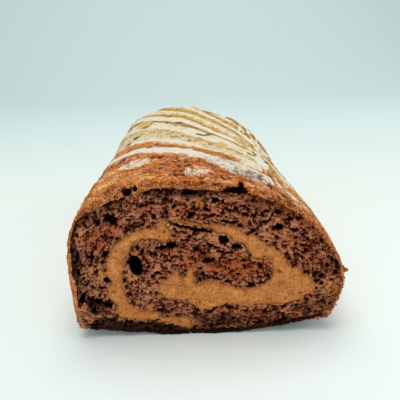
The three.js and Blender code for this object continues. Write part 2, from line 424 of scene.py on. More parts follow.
# Lumps that bend the pits, stand on the whole crust and roughen it where it is bare:
# [how much, size, seed]
PITS_BENT = [(0.3, 0.9, 12), (0.3, 2.1, 14)]
CRUST_LUMPS = [(0.08, 2.9, 22), (0.08, 1.3, 21), (0.07, 0.7, 20)]
BARE_LUMPS = [(0.2, 4.6, 25), (0.24, 1.9, 26), (0.28, 0.9, 27)]


def bare_share(crossing):
    """1 on the bare crust by the cut, 0 on the piped stripes."""
    return 1 - ease(crossing, *BARE)


def pit_chance(crossing, round_way, back):
    """The share of the pits that broke through, by the stripe they lie in."""
    chance = PITS_ANYWHERE + PITS_WHERE_BARE * bare_share(crossing)
    for at, half_width, over_top, on_right in PITTED:
        share = over_top + on_right * ease(round_way, -2, 8)
        chance += share * bell(crossing, at, half_width)
    return chance * (0.1 + 0.9 * ease(back, 2, 10)) * (1 - 0.8 * ease(-round_way, 42, 52))


def pits_in_crust(round_way, back):
    """Depth of the pits, thick on the bare crust by the cut and thin on the piped stripes."""
    rng = np.random.default_rng(11)
    depth = np.zeros_like(round_way)
    u = round_way + layered(round_way, back, PITS_BENT)
    v = back + layered(round_way, back, PITS_BENT, 1)
    spots = np.array(DEEP_PITS)
    for count, small, large, shallow, deep in CRUST_PITS:
        low = (-100, 0, small, shallow)
        high = (100, ROLL_LENGTH, large, deep)
        more = rng.uniform(low, high, (count, 4))
        chance = pit_chance(crossing_at(more[:, 1], more[:, 0]), more[:, 0], more[:, 1])
        spots = np.vstack([spots, more[rng.random(count) < chance]])
    for at_round, at_back, radius, most in spots:
        patch = part_within(round_way[0], back[:, 0], at_round, at_back, radius + 0.7)
        away = ((u[patch] - at_round) ** 2 + (v[patch] - at_back) ** 2) / radius**2
        depth[patch] = np.maximum(depth[patch], most * np.sqrt(np.clip(1 - away, 0, 1)))
    return depth


def crust_grain(round_way, back):
    """Crags, lumps and flaky ledges of the crust, rough where it is bare."""
    bare = bare_share(crossing_at(back, round_way))
    rough = layered(round_way, back, BARE_LUMPS)
    ledge = 1 - np.abs(lumps(round_way / 4, back, 2.1, 28))
    rough += 0.6 * (ledge**5 - 0.15) * ease(back, 0.5, 3) * (1 - ease(back, 8, 18))
    rough *= (0.15 + 0.85 * bare) * (1 - 0.75 * ease(np.abs(round_way), 42, 54))
    return layered(round_way, back, CRUST_LUMPS) + rough


# Rows of faces from the crumb out to the rounding at the cut, as shares of the way, and the turn
# of each row of the rounding
ROWS_TO_ROUNDING = (1, 0.86, 0.73, 0.61, 0.5, 0.4, 0.3, 0.2, 0.1)
ROUNDING_TURNS = [k * pi / 12 for k in range(7)]
FLAT_BELOW = 3  # height under which the underside needs no fine faces and has no grain


def crust_band(name, front, length, step):
    """The crust from a cut end inwards, as a closed bar, with its edge rounded over at the cut."""
    columns = [0.0]
    while columns[-1] < PERIMETER - 2 * step:
        height = np.interp(columns[-1], ring_way, ring[:, 1])
        columns.append(columns[-1] + (step if height > FLAT_BELOW else 2 * step))
    columns = np.append(columns, PERIMETER)
    here, out = on_outline(columns)
    round_way = columns - CREST
    thick, curve, _ = rim_at(round_way)
    if not front:
        curve = np.full_like(curve, BACK_ROUNDING)
    rows = [(curve + (thick + RIM_INSIDE - curve) * share, 0 * curve) for share in ROWS_TO_ROUNDING]
    for turn in ROUNDING_TURNS:
        rows.append((curve * (1 - sin(turn)), curve * (1 - cos(turn))))
    for far in np.linspace(0, length, int(length / step))[1:]:
        rows.append((0 * curve, far + curve * (1 - far / length)))
    inset, depth = np.array(rows).swapaxes(0, 1)
    back = depth if front else ROLL_LENGTH - depth
    round_grid = round_way[None] + 0 * depth
    order = np.argsort(back[:, 0], kind="stable")
    pits = np.empty_like(back)
    pits[order] = pits_in_crust(round_grid[order], back[order])
    grained = ease(here[None, :, 1], 0.5, FLAT_BELOW) * ease(-inset, -1.5, -0.2)
    stand = piped_relief(round_grid, back, here[None, :, 1])
    stand = stand + (crust_grain(round_grid, back) - pits) * grained - inset
    torn = layered(round_grid, inset - depth, EDGE_TORN_OUT)
    depth = depth + (torn + 0.25) * np.exp(-depth / EDGE_FADES)
    x = here[:, 0] + stand * out[:, 0]
    z = np.maximum(here[:, 1] + stand * out[:, 1], 0)
    band = bent_grid(name, x, depth - HALF if front else HALF - depth, z)
    close_open_edges(band)
    return band


CREAM_GAP = 0.3  # between the cream's side and the sponge, so that they don't meet
SEAM_WIDTH = 0.5
SEAM_TOP = 5.4
BEYOND = 5  # how far the cutting bars stand out past the roll

crust_near = crust_band("sponge_crust_near", True, NEAR_LENGTH, NEAR_STEP)
crust_far = crust_band("sponge_crust_far", False, ROLL_LENGTH - NEAR_LENGTH, FAR_STEP)
front_edge = ring_inside(ragged=0.4, seed=31, back=0, least=0.85)
back_edge = ring_inside(ragged=0.3, seed=41, back=ROLL_LENGTH, least=1.55)
seam_x = CREAM_ROUTE[0][0] + CREAM_ROUTE[0][2] / 2
SEAM = [(seam_x, -1), (seam_x + SEAM_WIDTH, -1), (seam_x + SEAM_WIDTH, SEAM_TOP), (seam_x, SEAM_TOP)]
for band, edge, front in ((crust_near, front_edge, True), (crust_far, back_edge, False)):
    for section in (cream_section(CREAM_GAP), SEAM):
        combine(band, bar_along(section, -HALF - BEYOND, HALF + BEYOND))
    combine(band, bar_along(edge, *across_cut(front, BEYOND, RECESS)))

# Hollows that tore the crust's edge open at the cut: [place, half sizes, turn]
EDGE_HOLLOWS = [
    ((12.4, -76.2, 58.2), (1.7, 5.6, 2.2), -20), ((10.2, -77.4, 56.9), (3.2, 5, 1.1), 6),
    ((-25.6, -77.2, 57.6), (1.2, 2.6, 1.2), 10), ((-22.9, -76.8, 58.8), (0.6, 1.6, 0.9), 0),
    ((-28.2, -76.6, 59.1), (0.8, 1.6, 0.6), 0),
]
EDGE_HOLLOWS_ROUGH = 0.4
tear_hollows(crust_near, EDGE_HOLLOWS, EDGE_HOLLOWS_ROUGH, 300)

# The piping along the crossing, from the cut end on: [crossing, tone from dark brown to pale gold,
# sugar, grey specks]
PIPING = [
    (0, 0.44, 0, 0), (27, 0.46, 0, 0), (30, 0.56, 0.5, 0), (32, 0.74, 0.94, 0), (37, 0.74, 0.96, 0),
    (39.2, 0.36, 0.2, 0), (40.4, 0.44, 0.06, 0), (47.6, 0.48, 0.06, 0), (49.6, 0.76, 0.6, 0),
    (51.6, 0.86, 0.9, 0), (54.5, 0.76, 0.58, 0.06), (58, 0.74, 0.6, 0.26), (63, 0.78, 0.72, 0.28),
    (67, 0.6, 0.4, 0.12), (69, 0.6, 0.4, 0.12), (72, 0.84, 0.84, 0.06), (77, 0.84, 0.8, 0.12),
    (80, 0.66, 0.5, 0), (85, 0.84, 0.84, 0), (87.6, 0.38, 0.3, 0.24), (91.4, 0.38, 0.3, 0.24),
    (94, 0.84, 0.86, 0), (102, 0.84, 0.8, 0), (105, 0.42, 0.06, 0), (112.4, 0.42, 0.1, 0),
    (115, 0.76, 0.6, 0), (121, 0.8, 0.76, 0), (125, 0.7, 0.56, 0), (128, 0.48, 0.2, 0),
    (133, 0.48, 0.2, 0), (136, 0.78, 0.7, 0), (142, 0.8, 0.76, 0), (149, 0.78, 0.7, 0),
    (152, 0.48, 0.2, 0), (159, 0.48, 0.2, 0), (162, 0.8, 0.76, 0), (170, 0.8, 0.74, 0),
    (173, 0.46, 0.2, 0), (179, 0.46, 0.2, 0), (182, 0.78, 0.72, 0), (190, 0.78, 0.7, 0),
    (193, 0.46, 0.2, 0), (199, 0.46, 0.2, 0), (202, 0.74, 0.6, 0), (212, 0.66, 0.4, 0),
    (220, 0.54, 0.14, 0),
]
# Where the stripes run thick, bare or stained: [way round, back, half sizes, turn, tone, sugar,
# specks]
PATCHES = [
    (-2.4, 13.6, 5.4, 6, 0, 0.6, 0.6, 0), (-27.5, 31.5, 10.5, 6.4, -14, 0.72, 0.68, 0),
    (-30, 43, 9, 3.2, -24, 0.6, 0.26, 0), (13, 26, 15, 7.4, -36, 0.66, 0.78, 0.22),
    (18, 19, 8, 5.5, -20, 0.4, 0.62, 0.36), (20.5, 35.5, 5.5, 5.5, 0, 0.84, 0.8, 0),
    (7, 42.6, 9.5, 4.6, -31, 0.42, 0.02, 0), (12.6, 35.6, 2.4, 1.8, -20, 0.16, 0, 0.1),
    (31, 33, 5.5, 7, -20, 0.5, 0.3, 0), (35, 57, 4, 10.5, 0, 0.66, 0.16, 0),
    (-35.6, 71.5, 1.8, 4.2, 0, 0.12, 0, 0), (-36.5, 62, 3.4, 10, 0, 0.58, 0.24, 0),
    (-15.6, 74, 1.7, 2.4, 0, 0.2, 0, 0.9), (1, 75.4, 3.2, 1.7, -20, 0.3, 0.3, 0.8),
    (-20.4, 58, 1.1, 1.1, 0, 0.2, 0, 0.8), (-5, 61.3, 0.9, 2.2, 0, 0.3, 0, 0.7),
    (-11.5, 66, 3.2, 2, 0, 0.5, 0.5, 0.45), (24.5, 59, 2.4, 3.2, -30, 0.4, 0.4, 0.75),
    (-32, 80.6, 1.8, 3, 0, 0.1, 0, 0.9), (36.6, 78.4, 2.2, 4.5, 0, 0.2, 0, 0.7),
    (0.2, 62.7, 2.6, 4, -20, 0.9, 0.34, 0), (10.9, 64, 2.2, 3, 0, 0.6, 0.24, 0),
    (19.5, 60.6, 1.8, 4.2, -30, 0.86, 0.3, 0), (-30.5, 110, 5.4, 14.5, 8, 0.62, 0, 0),
    (-28.6, 98, 2.4, 3.2, 0, 0.26, 0, 0), (-10.5, 103.5, 2.4, 5.8, 10, 0.34, 0.1, 0.9),
    (27.5, 84, 8.5, 13, 20, 0.58, 0.16, 0), (-10, 140, 9.5, 7, -20, 0.5, 0.22, 0),
    (23, 108, 4.2, 6, 0, 0.46, 0.36, 0), (7.3, 147, 2, 4, 0, 0.4, 0.3, 0.7),
    (5.4, 82.5, 1.6, 3.4, -45, 0.3, 0.3, 0.6), (-36, 14, 7, 7, 0, 0.68, 0, 0),
    (-38, 26, 5, 7, 0, 0.66, 0.3, 0), (25, 10.5, 6, 3.4, -30, 0.56, 0.4, 0),
    (-24, 12, 5, 3, 0, 0.58, 0, 0), (-15, 6.5, 6, 2.2, 0, 0.6, 0, 0), (4, 9, 5, 3, 0, 0.36, 0, 0),
    (-10, 24, 8, 6, 0, 0.4, 0.06, 0), (8, 4.6, 12, 1.8, 4, 0.7, 0, 0),
    (-4, 0.8, 22, 2.4, 0, 0.27, 0, 0), (32, 1.5, 18, 3, 0, 0.3, 0, 0),
]
# Wander of the stripes' and the patches' edges: [how much, size, seed]
STRIPES_WANDER = [(1.0, 7, 61), (0.8, 2.6, 62), (0.5, 1.1, 63)]
PATCHES_WANDER = [(0.2, 2.3, 64), (0.14, 1.0, 65)]
PATCH_EDGE = (0.7, 1.15)
# Ways round over which sugar and golden piping end on both sides, and streaks and the bare flank
# begin on the right
SUGARED_TOP = (38, 60)
GOLDEN_TOP = (36, 62)
STREAKED_FROM = (20, 30)
FLANK_FROM = (25, 33)
GOLDEN_FROM = (38, 64)  # crossings over which the piping turns golden
BROWN_UNDER = (3.2, 7.5)  # heights over which the crust of the foot gives way to the side's
SIDE_TONE = 0.5
UNDER_TONE = -0.4


def crust_values(band):
    """What the finish reads at each place: tone, sugar, specks, and how deep it lies in a pit, painted as
    shade.
    """
    co = places(band)
    round_way, inside = way_round(co[:, 0], co[:, 2])
    back = co[:, 1] + HALF
    wavy = crossing_at(back, round_way) + layered(round_way, back, STRIPES_WANDER)
    table = np.array(PIPING).T
    values = np.array([np.interp(wavy, table[0], row) for row in table[1:]])
    ragged = layered(round_way, back, PATCHES_WANDER)
    for at_round, at_back, long, short, turn, *own in PATCHES:
        u, v = turned(round_way - at_round, back - at_back, radians(turn))
        share = 1 - ease(np.hypot(u / long, v / short) + ragged, *PATCH_EDGE)
        values += share * (np.array(own)[:, None] - values)
    tone, sugar, specks = values
    streak = lumps(round_way, back / 9, 1.2, 66) * ease(round_way, *STREAKED_FROM)
    sugar += 0.9 * streak * (1 - bare_share(wavy))
    # The tone follows the crags and ledges, paler where they stand out and darker where they sink: partly
    # the bake, partly painted highlight and shade.
    tone += 0.42 * streak + 0.36 * crust_grain(round_way, back)
    flank = ease(round_way, *FLANK_FROM) * (1 - ease(back + 0.8 * round_way, 56, 84))
    side = ease(np.abs(round_way), *SUGARED_TOP)
    sugar *= (1 - 0.4 * flank) * (1 - 0.9 * side)
    specks *= 1 - side
    for share in (flank, side):
        tone += 0.6 * share * (SIDE_TONE - tone)
    tone += (UNDER_TONE - tone) * (1 - ease(co[:, 2], *BROWN_UNDER))
    _, curve, rim_tone = rim_at(round_way)
    from_end = np.minimum(back, ROLL_LENGTH - back)
    broken = ease(inside - 0.35 * from_end, 0.1, 0.9) * (1 - ease(from_end, 2, 3.5))
    tone += broken * (rim_tone - tone)
    sugar *= 1 - broken
    pit = inside + piped_relief(round_way, back, co[:, 2])
    pit *= ease(from_end, 0.5 * curve, 1.3 * curve) * ease(co[:, 2], 0.5, FLAT_BELOW)
    # Torn hollows in the crust's edge count as deep pits, so that the finish paints them dark: painted
    # shade.
    for at, radii, _ in EDGE_HOLLOWS:
        torn = 1 - ease(np.linalg.norm((co - at) / radii, axis=1), 1.1, 1.45)
        pit = np.maximum(pit, 3.5 * torn * ease(inside, 0.25, 0.7))
    golden = ease(wavy, *GOLDEN_FROM) * (1 - ease(np.abs(round_way), *GOLDEN_TOP))
    golden *= 1 - broken
    attributes(band, tone=tone, sugar=sugar, specks=specks, pit=pit, golden=golden)


def shade(tree, kind, inputs=None, **settings):
    """A shader node with its settings, and its inputs set or linked."""
    made = tree.nodes.new(kind)
    for name, value in settings.items():
        setattr(made, name, value)
    for name, value in (inputs or {}).items():
        if isinstance(value, bpy.types.NodeSocket):
            tree.links.new(value, made.inputs[name])
        else:
            made.inputs[name].default_value = value
    return made


def new_finish(name, roughness, specular):
    """A material with an empty Principled surface, and its tree and surface node."""
    material = bpy.data.materials.new(name)
    material.use_nodes = True
    tree = material.node_tree
    surface = tree.nodes["Principled BSDF"]
    surface.inputs["Roughness"].default_value = roughness
    surface.inputs["Specular IOR Level"].default_value = specular
    return material, tree, surface


def colour(red, green, blue):
    """A colour as it looks on a screen, 0 to 255, made linear."""
    parts = [v / 255 for v in (red, green, blue)]
    return (*[v / 12.92 if v <= 0.04045 else ((v + 0.055) / 1.055) ** 2.4 for v in parts], 1)


def reckon(operation, value, *others):
    """The values put together by the operation, one after the other."""
    for other in others:
        given = {0: value, 1: other}
        value = shade(value.id_data, "ShaderNodeMath", given, operation=operation).outputs[0]
    return value


def spread(value, times, middle=0.5):
    """The value's distance from its middle, times a number."""
    return reckon("MULTIPLY", reckon("SUBTRACT", value, middle), times)


def between(value, low, high):
    """0 below low, 1 above high, smooth in between."""
    steps = {"Value": value, "From Min": low, "From Max": high}
    made = shade(value.id_data, "ShaderNodeMapRange", steps, interpolation_type="SMOOTHSTEP")
    return made.outputs["Result"]


def mixed(share, first, second, blend="MIX"):
    """Two colours mixed, by the share of the second."""
    given = {0: share, 6: first, 7: second}
    made = shade(share.id_data, "ShaderNodeMix", given, data_type="RGBA", blend_type=blend)
    return made.outputs[2]


def ramp(value, stops):
    """The value turned into a colour between the stops: [value, red, green, blue]."""
    made = shade(value.id_data, "ShaderNodeValToRGB", {"Fac": value})
    elements = made.color_ramp.elements
    stops = [(at, colour(*tint)) for at, *tint in stops]
    elements[0].position, elements[0].color = stops[0]
    elements[1].position, elements[1].color = stops[-1]
    for at, tint in stops[1:-1]:
        elements.new(at).color = tint
    return made.outputs["Color"]


def read(tree, name):
    return shade(tree, "ShaderNodeAttribute", attribute_name=name).outputs["Fac"]


def baked_grain():
    """The grain that all the baked and whipped surfaces share, as two noises and a normal."""
    group = bpy.data.node_groups.new("baked grain", "ShaderNodeTree")
    for in_out, name, kind in (
        ("INPUT", "Fine", "Float"), ("INPUT", "Coarse", "Float"), ("INPUT", "Relief", "Float"),
        ("OUTPUT", "Fine", "Float"), ("OUTPUT", "Coarse", "Float"), ("OUTPUT", "Normal", "Vector"),
    ):
        group.interface.new_socket(name, in_out=in_out, socket_type="NodeSocket" + kind)
    given = group.nodes.new("NodeGroupInput")
    result = group.nodes.new("NodeGroupOutput")
    where = shade(group, "ShaderNodeTexCoord").outputs["Object"]
    noises = []
    for name in ("Fine", "Coarse"):
        inputs = {"Vector": where, "Scale": given.outputs[name], "Detail": 3.0, "Roughness": 0.6}
        noises.append(shade(group, "ShaderNodeTexNoise", inputs).outputs["Fac"])
        group.links.new(noises[-1], result.inputs[name])
    height = {"Height": noises[0], "Distance": given.outputs["Relief"], "Strength": 0.6}
    group.links.new(shade(group, "ShaderNodeBump", height).outputs["Normal"], result.inputs["Normal"])
    return group


GRAIN = baked_grain()
PATCHY = {"Fine": 1100, "Coarse": 260}  # sizes of the grain that makes a colour richer or duller


def grain(tree, surface, fine, coarse, relief):
    """The shared grain at its own sizes: its two noises, with its normal on the surface."""
    sizes = {"Fine": fine, "Coarse": coarse, "Relief": relief}
    made = shade(tree, "ShaderNodeGroup", sizes, node_tree=GRAIN)
    tree.links.new(made.outputs["Normal"], surface.inputs["Normal"])
    return made.outputs["Fine"], made.outputs["Coarse"]


def varied(tint, middle, fine_much, coarse_much):
    """The tint made richer and duller from place to place, as baking leaves it."""
    patches = shade(tint.id_data, "ShaderNodeGroup", PATCHY, node_tree=GRAIN).outputs
    fine, coarse = spread(patches["Fine"], fine_much), spread(patches["Coarse"], coarse_much)
    inputs = {"Saturation": reckon("ADD", fine, middle, coarse), "Color": tint}
    return shade(tint.id_data, "ShaderNodeHueSaturation", inputs).outputs["Color"]


def dress(piece, material, node):
    """Gives a piece its material, and says what it rides on and stands for."""
    piece.data.materials.clear()
    piece.data.materials.append(material)
    pick(piece)
    bpy.ops.object.shade_smooth_by_angle(angle=radians(50))
    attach(piece, "root")
    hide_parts(node)


finish, tree, surface = new_finish("baked crust dusted with icing sugar", roughness=0.85, specular=0.2)
fine, coarse = grain(tree, surface, fine=2000, coarse=420, relief=0.0007)
golden, pit = read(tree, "golden"), read(tree, "pit")
tone = reckon("ADD", read(tree, "tone"), spread(fine, 1.8), spread(coarse, 0.9))
rough_bake = reckon("MULTIPLY", spread(fine, 0.5), spread(golden, -1, 1))
# Darker the deeper it lies in a pit, low or torn hollow: painted shade.
tone = reckon("ADD", tone, rough_bake, spread(pit, -0.5, 0.1))
baked = ramp(tone, [
    (0, 26, 6, 2), (0.16, 96, 42, 14), (0.4, 172, 92, 40), (0.58, 204, 121, 61),
    (0.78, 223, 152, 92), (1, 236, 192, 134),
])
piped = ramp(tone, [
    (0, 36, 26, 16), (0.2, 112, 78, 40), (0.42, 178, 130, 62), (0.6, 206, 166, 90),
    (0.8, 224, 196, 136), (1, 232, 212, 158),
])
crust_tone = mixed(golden, baked, piped)
crust_tone = varied(crust_tone, middle=1.005, fine_much=0.4, coarse_much=0.4)
lying = reckon("ADD", spread(fine, 1.3), spread(coarse, 1.1), spread(read(tree, "sugar"), 0.85, 0))
dusted = reckon("MULTIPLY", between(lying, 0.28, 0.72), 0.9)
sugar = mixed(between(fine, 0.4, 0.6), colour(224, 223, 211), colour(240, 229, 202))
sugared = mixed(dusted, crust_tone, sugar)
specked = between(reckon("ADD", read(tree, "specks"), spread(fine, 3.4)), 0.44, 0.74)
tree.links.new(mixed(specked, sugared, colour(92, 88, 70)), surface.inputs["Base Color"])
sheen = reckon("MULTIPLY", between(pit, 1.6, 0.6), 0.2)
tree.links.new(sheen, surface.inputs["Specular IOR Level"])
for band in (crust_near, crust_far):
    crust_values(band)
    dress(band, finish, "sponge")


# ---- The crumb of the cut ends ----
# The open chocolate sponge that the knife laid bare: thin torn walls round thousands of bubbles,
# drawn out along the rolled sheet, with larger hollows here and there and cream dragged over it.
# It is a slab of the same sheet, set in the crust's edge at each end.

# Hollows torn open in the front end. [x, z, width, height, depth, turn in degrees] in mm
HOLLOWS = [
    (11.4, 57, 5.6, 2.7, 6, 6), (12.6, 58.4, 2.8, 3, 6, 0), (-5.3, 56.7, 5.2, 1.6, 3.5, 0),
    (-25.6, 57.5, 2.6, 2.4, 4, 0), (-32.6, 48.4, 3.2, 3.4, 2.6, 10), (-30.6, 47.8, 2.8, 2.6, 2.2, -20),
    (-31.6, 46.8, 2.4, 1.8, 2, 0), (-9, 45, 7.4, 1.1, 5, -22), (-2.2, 43, 9, 1.4, 5, -11),
    (-15.2, 36.6, 3.6, 1.8, 4, 10), (-11.8, 37.4, 3.8, 2.6, 4.5, -6),
    (6.1, 38.8, 3.9, 3.3, 4.5, -20), (10.8, 36.2, 3.3, 2, 4, -20),
    (24.5, 43.1, 3.3, 2.9, 4.5, 10), (3.2, 53.8, 2.8, 2.1, 3, -20), (-22.8, 45.4, 4.2, 1.6, 3.5, 22),
    (-36, 14.2, 3.2, 2.6, 4, -24), (-45, 16.6, 2.2, 4.4, 4, -14), (-45.3, 8.5, 2.4, 2.6, 2.5, 0),
    (15.9, 20.4, 3.6, 1.9, 3.5, 14), (34.8, 25.3, 3.4, 1.4, 3.5, -6), (0.9, 30.8, 4.2, 2.2, 3.5, 10),
    (-39.2, 15.4, 3.4, 2, 4, -10), (-42, 16.6, 2.6, 1.8, 3, -20), (-24, 45.2, 4.4, 1.8, 3, 20),
]
SMALL_DEPTH = 2.6
# Smaller ones between them: [x, z, width, height, and the turn where there is one]
SMALL_HOLLOWS = [
    (-36.6, 46.8, 1.9, 3, 10), (-40.6, 45.8, 1, 1.3), (-43.7, 42.2, 0.8, 1.5), (-35.8, 41.7, 1.2, 1),
    (-32.4, 41, 1.6, 1), (-29.7, 40.2, 2.9, 1.4, -10), (-26.2, 43.9, 1.8, 1.6), (-27.3, 41.8, 1.4, 0.9, 20),
    (-39.7, 33.8, 1.4, 4.4, -8), (-35.5, 34.6, 2.2, 3.4, -20), (-36.3, 31.4, 1.5, 1.5),
    (-37.8, 32.8, 0.8, 0.8), (-44.6, 34.6, 1, 2), (-43.4, 30.8, 1.2, 1.6), (-45, 28, 1.2, 2.6),
    (-43.6, 25.4, 1, 1.4), (-35.7, 24.3, 2.7, 1.9, -35), (-37.6, 21.4, 3.2, 1.2, 4), (-42.8, 22.8, 1, 1.4),
    (-40.9, 21.9, 1.4, 1), (-39.8, 16, 3.2, 1.4, -12), (-42.4, 13.8, 1.8, 2.4), (-41.3, 11.4, 1.6, 3.2),
    (-28, 18.2, 2.6, 1.2, -10), (-29.4, 23.8, 1.5, 1.9), (-28.8, 21.4, 1.2, 1), (-27.3, 31.3, 1.5, 1.4),
    (-25.8, 33.6, 1.8, 1.5, 30), (-23.7, 36.8, 1.2, 1.4), (-16.9, 11.1, 4, 1.3, -4),
    (-13.1, 54.9, 1.7, 1.2), (-12.7, 52, 1, 1.1), (-13.1, 49.9, 1.2, 2, 10), (-17.4, 48.4, 1.8, 2.2),
    (-4.8, 48.8, 2.2, 2.3), (-5.8, 40.5, 1.8, 1.6), (-6.6, 38.8, 1.2, 1), (-4.4, 41.6, 1, 1.2),
    (-19.3, 25.1, 1.6, 1.8), (-17.1, 26.7, 2.8, 1.3, -10), (-3.5, 35.6, 2.2, 1.3), (-1.6, 34, 1.2, 1),
    (-12, 32.5, 1.2, 1.2), (-17.4, 34, 1.3, 1.3), (-19.2, 34.5, 1.2, 1.4), (-20.5, 29.1, 1.2, 1.8),
    (-14.6, 31.4, 1, 1), (-1.4, 25.8, 1.5, 1.6), (5.7, 52.9, 1, 1.6), (10.1, 50.6, 1.5, 2.1),
    (5.7, 49.2, 1.6, 0.9, 20), (13.4, 48.2, 2.6, 1.4, -20), (14.6, 49.8, 1.2, 1),
    (20.4, 49.3, 2.4, 1.2, 10), (19.2, 47.8, 1.2, 1.8), (24.5, 48.6, 2.2, 1.7), (22.4, 47.8, 1.2, 1.2),
    (16.5, 47.4, 1.1, 2.8, -10), (20.4, 45.4, 4.4, 1.3, 18), (9.6, 45.3, 3, 1, -10), (11.5, 44.1, 1.9, 1.6),
    (6.6, 45.7, 2.8, 0.9, -10), (30.2, 41.9, 2.5, 1.4), (28.5, 45.9, 3, 1.6), (31.7, 46.1, 2.3, 1.3),
    (16.2, 41.9, 2.4, 1.5, 20), (13.6, 40.6, 1.6, 0.9), (20.7, 38, 1.4, 1), (23.3, 36.1, 2.1, 1.1),
    (24, 39.4, 1, 1.4), (31, 39, 1.6, 1.1), (33.3, 40.1, 1.4, 1.4), (33.8, 35.9, 1.5, 1.1),
    (35.6, 38, 1.6, 1, -30), (27.4, 32.7, 1, 1.6), (28.8, 30.9, 1.5, 1.9, 20), (31.1, 28.2, 2.1, 2.2, 30),
    (36.6, 24.5, 1, 1), (39.5, 21.3, 2.5, 1.5, -10), (41.4, 20.4, 1.7, 1.2), (41.1, 23.6, 1.5, 1.9),
    (39.7, 18.4, 0.9, 1.2), (46.1, 24.8, 2.2, 2), (44.9, 22, 1.5, 1.2), (42.6, 27.6, 1.4, 1.2),
    (44.2, 29.8, 1, 1.6), (38.6, 31, 1.2, 1), (1.7, 36.8, 1.5, 1.9), (4.7, 34.5, 3, 1),
    (7.8, 33.9, 3.8, 0.9), (13.4, 30.9, 2.7, 1.1), (8.4, 31, 2, 1.2), (18.9, 28.2, 1.5, 2.6),
    (16.6, 29.7, 1.3, 0.9), (13.4, 28.2, 1.1, 1.9), (19.3, 21.4, 3, 1.2, 12), (3.8, 23.5, 4, 1, -6),
    (7.6, 22.1, 3, 1.2, -20), (9.6, 20.6, 2.2, 1, -20), (21.8, 24.3, 1, 1.2), (11, 25.1, 1.8, 1.1),
    (14.5, 9.6, 2.2, 1.5), (21.1, 9.3, 1.5, 2.6, -10), (26.3, 8.4, 1.9, 1.2), (32.8, 11.5, 1.7, 1.3),
    (36.6, 13.8, 0.8, 1.2), (2.4, 10.8, 6.2, 1.2, 34), (8.2, 11.3, 2.3, 2, 20), (5.6, 8.4, 1.6, 1.6),
    (19.5, 4.4, 4.6, 1.5), (1.2, 3.4, 2.2, 1.2), (40.8, 8.4, 3.2, 1, 6), (9.4, 6.6, 1.4, 1.4),
    (28.6, 5.8, 1.8, 1),
]
# Clean round hollows: [place, half sizes, turn]
CLEAN_HOLLOWS = [
    ((-24.8, -76.8, 29.6), (2.35, 6.4, 4.1), 4), ((-23.6, -77.4, 36.6), (0.6, 1.8, 0.8), 0),
]
CLEAN_HOLLOWS_ROUGH = 0.05
# Bubbles: [how many for 100 mm2, radius from, to] in mm
BUBBLES = [(60, 0.24, 0.4), (16, 0.36, 0.56), (2.5, 0.55, 0.8)]
BUBBLE_DEPTH = 2.6  # in radii
# The finest foam, drawn out along the sheet: [how much, how many times longer along it, size]
FOAM = [(0.45, 1.6, 0.66), (0.5, 1.3, 0.36), (0.2, 1.8, 1.7)]
# Lumps that bend the walls, set them back, crowd the bubbles and fray the hollows and the patches
# of colour: [how much, size, seed]
WALLS_BENT = [(0.16, 0.45, 1), (0.24, 1.3, 2)]
WALLS_BACK = [(0.12, 4.5, 6), (0.18, 1.1, 9)]
BUBBLES_CROWDED = [(0.55, 4.5, 7), (0.3, 1.8, 8)]
HOLLOWS_FRAYED = [(0.5, 0.7, 34), (0.35, 0.38, 35)]
BLOTCHES_FRAYED = [(0.9, 2.4, 0), (0.5, 1.0, 1)]
WALLS_DEEP = 0.3  # mm behind the cut
PORES_DEEP = 0.9
PORES_FROM = (0.12, 0.38)
FILM_DEEP = 0.16
FACE_LOW = (-50.0, -0.6)
FACE_HIGH = (50.0, 61.0)

# Partly the crumb's own tone; partly painted shade by hollows and the crust's top edge, and highlight on
# lumps.
# Where the crumb is paler (+) or darker (-): [x, z, half width, half height, how much]
SHADES = [
    (-46.4, 27, 2.8, 22, -0.44), (-43, 28.2, 3, 12, -0.16), (-40, 13.2, 6, 3.5, -0.6),
    (-45, 11.2, 2, 3, 0.75), (-38, 6.8, 6, 2.6, -0.9), (-25, 13.6, 5, 2.4, -0.25),
    (-22, 6.2, 12, 2, -0.5), (-17, 7.8, 5, 2, -0.4), (-14, 10.6, 9, 2.4, -0.2), (2, 6.2, 11, 4, -0.6),
    (22, 4.8, 18, 2.6, -0.5), (36, 9.8, 4, 2.4, -0.35), (20, 8.4, 14, 2, -0.2),
    (-8, 57, 16, 2.2, -0.62), (29.5, 49.8, 5, 4, -0.3), (-1, 53.4, 4, 1.6, 0.35),
    (-22.4, 55.2, 2, 3.2, 0.3), (-40, 49.8, 6, 3.5, -0.55), (-30, 52, 6, 2.2, -0.3),
    (-29, 45.2, 5, 3.5, 0.32), (-20, 48.8, 4, 2.6, 0.2), (-14, 48.8, 4, 3, -0.3),
    (-38.5, 18.6, 3, 2, 0.5), (8, 25.8, 12, 3.6, 0.25), (21.2, 28.8, 1.7, 3, -0.15),
    (-2, 24.8, 2.6, 3, -0.35), (-8.5, 26.6, 1.6, 2.2, -0.35), (-14.5, 29.2, 3, 1.8, 0.15),
    (43, 28.2, 3.4, 4, -0.35), (46.6, 26.2, 1.6, 3, -0.5), (43, 18.8, 4, 3.4, 0.6),
    (36, 32.2, 6, 3, 0.35), (22, 39.8, 6, 3, 0.3), (12, 47.2, 5.4, 1.8, 0.15), (3, 49.6, 5, 2, 0.1),
    (20, 53.2, 6, 2, -0.45), (17, 51.2, 4, 1.6, -0.15), (40, 36.8, 2.6, 3, -0.25),
    (26, 28.2, 4, 4, 0.25), (-26.6, 25.2, 3.6, 1.5, 0.3), (-2, 41.2, 2, 1.4, 0.3),
    (0, 32.2, 3, 3, -0.3), (-7, 32.7, 5, 2.5, 0.2), (-24, 36.2, 3, 2, 0.3), (45, 13.2, 2.4, 3, -0.1),
    (30, 37.2, 4, 2, 0.1), (-45.6, 34, 1.6, 12, -0.2), (-40, 28, 4.4, 3, 0.5),
    (-42.4, 23, 3, 2.4, 0.35), (-39, 15.6, 7, 1.8, -0.5), (-45, 12, 1.6, 1.4, 0.6),
    (38, 11, 7, 3, -0.3), (-20, 27, 5, 5, 0.1),
]
